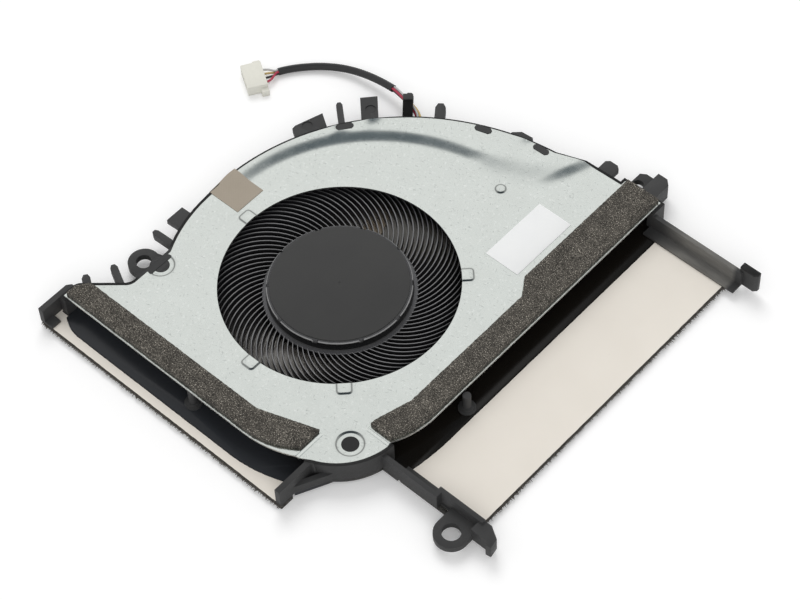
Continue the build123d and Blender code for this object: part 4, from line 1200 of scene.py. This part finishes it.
def makeStickers():
    form = stickerForm
    mesh = roundedCopy("blankLabel", "blank_label", form["labelRound"], 2.0)
    addPiece("blankLabel", mesh, ["label"], "frame", "white_sticker", "blank_label")
    mesh = roundedCopy("edgeTape", "edge_tape", form["tapeRound"], 2.0)
    with editing(mesh, 28) as work:
        bmesh.ops.triangulate(work, faces=work.faces)
        for _ in range(4):
            long = [edge for edge in work.edges if edge.calc_length() > form["tapeEdge"] * mm]
            bmesh.ops.subdivide_edges(work, edges=long, cuts=1)
            bmesh.ops.triangulate(work, faces=work.faces)
        for vertex in work.verts:
            if vertex.co.z > form["tapeFold"] * mm:
                vertex.co.z += float(coverHeight(*vertex.co.xy / mm)) * mm
    addPiece("edgeTape", mesh, ["tape"], "frame", "cloth_tape", "edge_tape")
    print("stickers")


# Rotor

bladeForm = {
    "Blade Count": 87,
    "Thickness": 0.23,         # mm from here on
    "Arc Radius": 14.1,
    "Arc Centre": 14.57,
    "Arc Start": -113.0,       # degrees
    "Arc Sweep": 84.7,
    "Bottom": 2.3,
    "Root Top": 4.0,
    "Rise": 0.11,              # of the top, per mm outwards
    "Edge Round": 0.08,
}


def bladeTree():
    tree, sizes, calc, metres = startTree("bladeWheel", bladeForm)
    half = 0.5 * mm            # of the plain wall that the blade is drawn out from
    start = calc("RADIANS", sizes["Arc Start"])
    arc = addNode(tree, "GeometryNodeCurveArc", {
        "Resolution": 14,
        "Radius": metres("Arc Radius"),
        "Start Angle": start,
        "Sweep Angle": calc("RADIANS", sizes["Arc Sweep"]),
    })
    inputs = {"Width": metres("Thickness"), "Height": 2 * half}
    profile = addNode(tree, "GeometryNodeCurvePrimitiveQuadrilateral", inputs)
    inputs = {"Curve": profile.outputs["Curve"], "Count": 2, "Radius": metres("Edge Round")}
    rounded = addNode(tree, "GeometryNodeFilletCurve", inputs, mode="POLY")
    inputs = {"Curve": arc.outputs["Curve"], "Profile Curve": rounded.outputs["Curve"], "Fill Caps": True}
    wall = addNode(tree, "GeometryNodeCurveToMesh", inputs)

    # The lower half goes to the blade's foot and the upper half to its sloped top
    place = addNode(tree, "GeometryNodeInputPosition").outputs[0]
    spot = addNode(tree, "ShaderNodeSeparateXYZ", {0: place}).outputs
    alongX = calc("SUBTRACT", spot["X"], calc("MULTIPLY", metres("Arc Radius"), calc("COSINE", start)))
    alongY = calc("SUBTRACT", spot["Y"], calc("MULTIPLY", metres("Arc Radius"), calc("SINE", start)))
    outward = calc("SUBTRACT", alongX, calc("MULTIPLY", alongY, 0.5))
    climb = calc("ADD", metres("Root Top"), calc("MULTIPLY", outward, sizes["Rise"]))
    upper = calc("SUBTRACT", calc("ADD", climb, spot["Z"]), half)
    lower = calc("ADD", calc("ADD", metres("Bottom"), spot["Z"]), half)
    isUpper = calc("GREATER_THAN", spot["Z"])
    moved = addNode(tree, "ShaderNodeCombineXYZ", {
        "X": calc("ADD", spot["X"], metres("Arc Centre")),
        "Y": spot["Y"],
        "Z": calc("ADD", lower, calc("MULTIPLY", isUpper, calc("SUBTRACT", upper, lower))),
    })
    inputs = {"Geometry": wall.outputs["Mesh"], "Position": moved.outputs[0]}
    blade = addNode(tree, "GeometryNodeSetPosition", inputs).outputs["Geometry"]

    points = addNode(tree, "GeometryNodePoints", {"Count": sizes["Blade Count"]}).outputs[0]
    index = addNode(tree, "GeometryNodeInputIndex").outputs[0]
    pitch = calc("DIVIDE", 2 * math.pi, sizes["Blade Count"])
    turn = addNode(tree, "ShaderNodeCombineXYZ", {"Z": calc("MULTIPLY", index, pitch)})
    return endTree(tree, "blade", points, blade, turn.outputs[0])


hubForm = {
    "discRadius": 14.45,       # mm
    "discTop": 6.4,
    "discEdge": 0.22,
    "discCrown": 0.02,
    "discWall": 0.5,
    "pipRadius": 0.3,
    "pipDepth": 0.08,
    "hubRadius": 15.05,
    "flangeRadius": 16.0,
    "flangeTop": 3.85,
    "flangeRound": 0.1,
    "rootRound": 0.15,
    "rimTop": 6.15,
    "rimBevel": 0.2,
    "bottom": 2.3,
    "notches": 10,
    "notchStart": 4,           # degrees
    "notchWidth": 4.0,
    "notchDepth": 0.4,
}


def makeHubRing():
    form = hubForm
    disc, hub, flange = form["discRadius"], form["hubRadius"], form["flangeRadius"]
    level, top, bevel = form["flangeTop"], form["rimTop"], form["rimBevel"]
    edge, root = form["flangeRound"], form["rootRound"]
    profile = [
        (disc, form["bottom"]),
        (flange, form["bottom"]),
        (flange, level - edge),
        (flange - edge, level),
        (hub + root, level),
        (hub, level + root),
        (hub, top - bevel),
        (hub - bevel * 0.45, top - bevel * 0.4),
        (hub - bevel, top),
        (disc, top),
    ]

    def inNotch(angle):
        return (angle - form["notchStart"]) % (360 / form["notches"]) < form["notchWidth"]

    def notch(angle, index, height):
        return height - form["notchDepth"] if index in (6, 7, 8) and inNotch(angle) else height

    def hubPart(angle, index):
        # Rim top, flange, the wall and notches in painted shade, or the bevel with a painted highlight
        if index in (6, 7):
            return 1 if inNotch(angle) else 2
        return {2: 3, 3: 3, 8: 0}.get(index, 1)

    ring = turned("hubRing", profile, 360, notch, hubPart)
    addPiece("hubRing", ring, ["rim", "hubWall", "hubBevel", "flange"], "rotor", "blade_plastic")


def makeRotorCup():
    form = hubForm
    radius, top, edge = form["discRadius"], form["discTop"], form["discEdge"]
    crown = top + form["discCrown"]
    inner = radius - form["discWall"]
    under = top - form["discWall"]
    skirt = boxOf("rotor_yoke")[0].z
    cup = turned("rotorCup", [
        (0.0, top - form["pipDepth"]),
        (form["pipRadius"] * 0.6, top - form["pipDepth"]),
        (form["pipRadius"], crown),
        (radius - edge, crown),
        (radius - edge * 0.3, top - edge * 0.3),
        (radius, top - edge),
        (radius, skirt),
        (inner, skirt),
        (inner, under),
        (0.0, under),
    ], 240)
    addPiece("rotorCup", cup, ["hub"], "rotor", "yoke_metal", "rotor_yoke")


def makeRotor():
    blades = growMesh("blades", bladeTree(), bladeForm)
    addPiece("bladeWheel", blades, ["blade"], "rotor", "blade_plastic", "impeller")
    makeHubRing()
    makeRotorCup()
    print("rotor", len(blades.polygons))


# Lead and connector

lead = {
    "route": [                 # mm, from the wall slot to the connector
        (-17.4, 43.5, 3.6), (-19.3, 45.6, 3.65), (-23.3, 46.8, 3.55), (-27.6, 47.7, 3.35),
        (-31.6, 47.9, 2.85), (-36.8, 47.5, 2.15), (-41.5, 46.4, 1.5), (-45.9, 44.0, 1.15),
        (-49.6, 40.6, 1.0), (-51.9, 37.6, 1.0), (-53.1, 35.0, 1.1),
    ],
    "sleeveFirst": 3,          # points of the route
    "sleeveLast": 9,
    "sleeveShare": 0.25,       # of the way to the next point, where the sleeve starts
    "sleeveRadius": 0.85,
    "sleeveSides": 20,
    "ribDepth": 0.05,
    "wireDiameter": 0.5,
    "spread": 0.3,
    "twist": -90,              # degrees
    "boardEnd": 42.8,
    "boardAngle": 111.5,       # degrees
    "boardPitch": 1.1,
    "boardLevel": 2.05,
    "connectorRound": 0.12,
    "connectorBack": (-53.8, 33.3, 1.3),
    "connectorAngle": 58,
    "connectorPitch": 1.25,
    "leadIn": 0.9,
    "crimp": -0.5,
    "wireLength": 0.049,       # metres
    "wires": ("red", "black", "yellow", "grey"),
}


def splineOf(name, points, radius):
    # A smooth line with the route's points as its control points
    curve = bpy.data.curves.new(name, "CURVE")
    curve.dimensions = "3D"
    curve.bevel_depth = radius * mm
    curve.bevel_resolution = 3
    curve.use_fill_caps = True
    line = curve.splines.new("NURBS")
    line.points.add(len(points) - 1)
    for control, point in zip(line.points, points):
        control.co = (*(Vector(point) * mm), 1)
    line.order_u = 3
    line.use_endpoint_u = True
    line.resolution_u = 8
    line.use_smooth = True
    return curve


def runAt(points, index):
    return points[min(index + 1, len(points) - 1)] - points[max(index - 1, 0)]


def besideRoute(points, side, rise):
    # The wires turn round each other between the wall and the sleeve
    moved = []
    for index, point in enumerate(points):
        run = runAt(points, index)
        left = Vector((-run.y, run.x, 0)).normalized()
        cosine, sine = heading(lead["twist"] * max(0, 1 - index / lead["sleeveFirst"]))
        up = Vector((0, 0, side * sine + rise * cosine))
        moved.append(point + left * (side * cosine - rise * sine) + up)
    return moved


def makeLead():
    route = [Vector(point) for point in lead["route"]]
    first, last = lead["sleeveFirst"], lead["sleeveLast"]
    sleeveStart = route[first].lerp(route[first + 1], lead["sleeveShare"])
    sleeveEnd = (route[last] + route[last + 1]) / 2
    sleeveRoute = [sleeveStart, *route[first + 1:last + 1], sleeveEnd]
    mesh = roundedCopy("connectorHousing", "connector_housing", lead["connectorRound"], 2.0)
    housing = addPiece("connectorHousing", mesh, ["ivory"], "frame", "ivory_plastic", "connector_housing")
    sleeve = makeSleeve(sleeveRoute)
    middle = [*route[:first + 1], *sleeveRoute, (sleeveEnd + route[last + 1]) / 2]
    out = around(1, lead["connectorAngle"])
    across = around(1, lead["connectorAngle"] - 90)
    half = lead["spread"]
    for index, colour in enumerate(lead["wires"]):
        row = index - 1.5
        side = half if row < 0 else -half
        rise = half if abs(row) > 1 else -half
        solder = around(lead["boardEnd"], lead["boardAngle"])
        solder += around(row * lead["boardPitch"], lead["boardAngle"] - 90)
        solder.z = lead["boardLevel"]
        entry = Vector(lead["connectorBack"]) + across * (-row * lead["connectorPitch"])
        ends = [entry + out * lead["leadIn"], entry + out * lead["crimp"]]
        points = [solder, *besideRoute(middle, side, rise), *ends]
        name = "wire" + colour.title()
        curve = splineOf(name, points, lead["wireDiameter"] / 2)
        wire = addPiece(name, curve, [colour], "frame", colour + "_insulation", "wire_" + colour)
    print("lead")


def makeSleeve(points):
    # A tube along the smooth line, with a slight rib at each of its points
    guide = addObject("sleeveGuide", splineOf("sleeveGuide", points, 0))
    spots = [vertex.co / mm for vertex in meshOf(guide).vertices]
    bpy.data.objects.remove(guide)
    rows = spots[:1]
    for start, end in zip(spots, spots[1:]):
        rows += [start.lerp(end, 0.5), end]
    sides = lead["sleeveSides"]
    vertices = []
    faces = []
    for index, spot in enumerate(rows):
        ahead = runAt(rows, index).normalized()
        right = ahead.cross(Vector((0, 0, 1))).normalized()
        up = right.cross(ahead)
        radius = lead["sleeveRadius"] - (lead["ribDepth"] if index % 2 else 0.0)
        here = len(vertices)
        for step in range(sides):
            cosine, sine = heading(360 * step / sides)
            vertices.append(spot + (right * cosine + up * sine) * radius)
            after = (step + 1) % sides
            if index:
                faces.append((here - sides + step, here - sides + after, here + after, here + step))
    faces += [tuple(range(sides)), tuple(range(len(vertices) - sides, len(vertices)))]
    mesh = meshFrom("cableSleeve", vertices, faces)
    with editing(mesh, 50) as work:
        bmesh.ops.recalc_face_normals(work, faces=work.faces)
    return addPiece("cableSleeve", mesh, ["sleeve"], "frame", "sleeve_plastic", "cable_sleeve")


# The terminals and the parts of the motor keep their CAD form

innerLooks = {
    "connector_terminals": "tin", "magnet_ring": "magnet", "shaft": "shaft", "bearing_tube": "brass",
    "thrust_pad": "pad", "bearing_sleeve": "bronze", "stator_core": "core", "stator_coils": "copper",
    "motor_board": "board", "driver_chip": "chip",
}


def dressInner():
    for node, look in innerLooks.items():
        for slot in cadNodes[node].material_slots:
            slot.material = finishes[look]
    print("inner parts", len(innerLooks))


setCamera()
setStudio()
layFloor()
makeLead()
makeFrame()
makeCover()
for strip in foamForm["strips"]:
    makeFoam(*strip)
makeFilm("sideSealFilm", "side_seal_film")
makeFilm("frontSealFilm", "front_seal_film")
makeFringes()
makeStickers()
makeRotor()
dressInner()
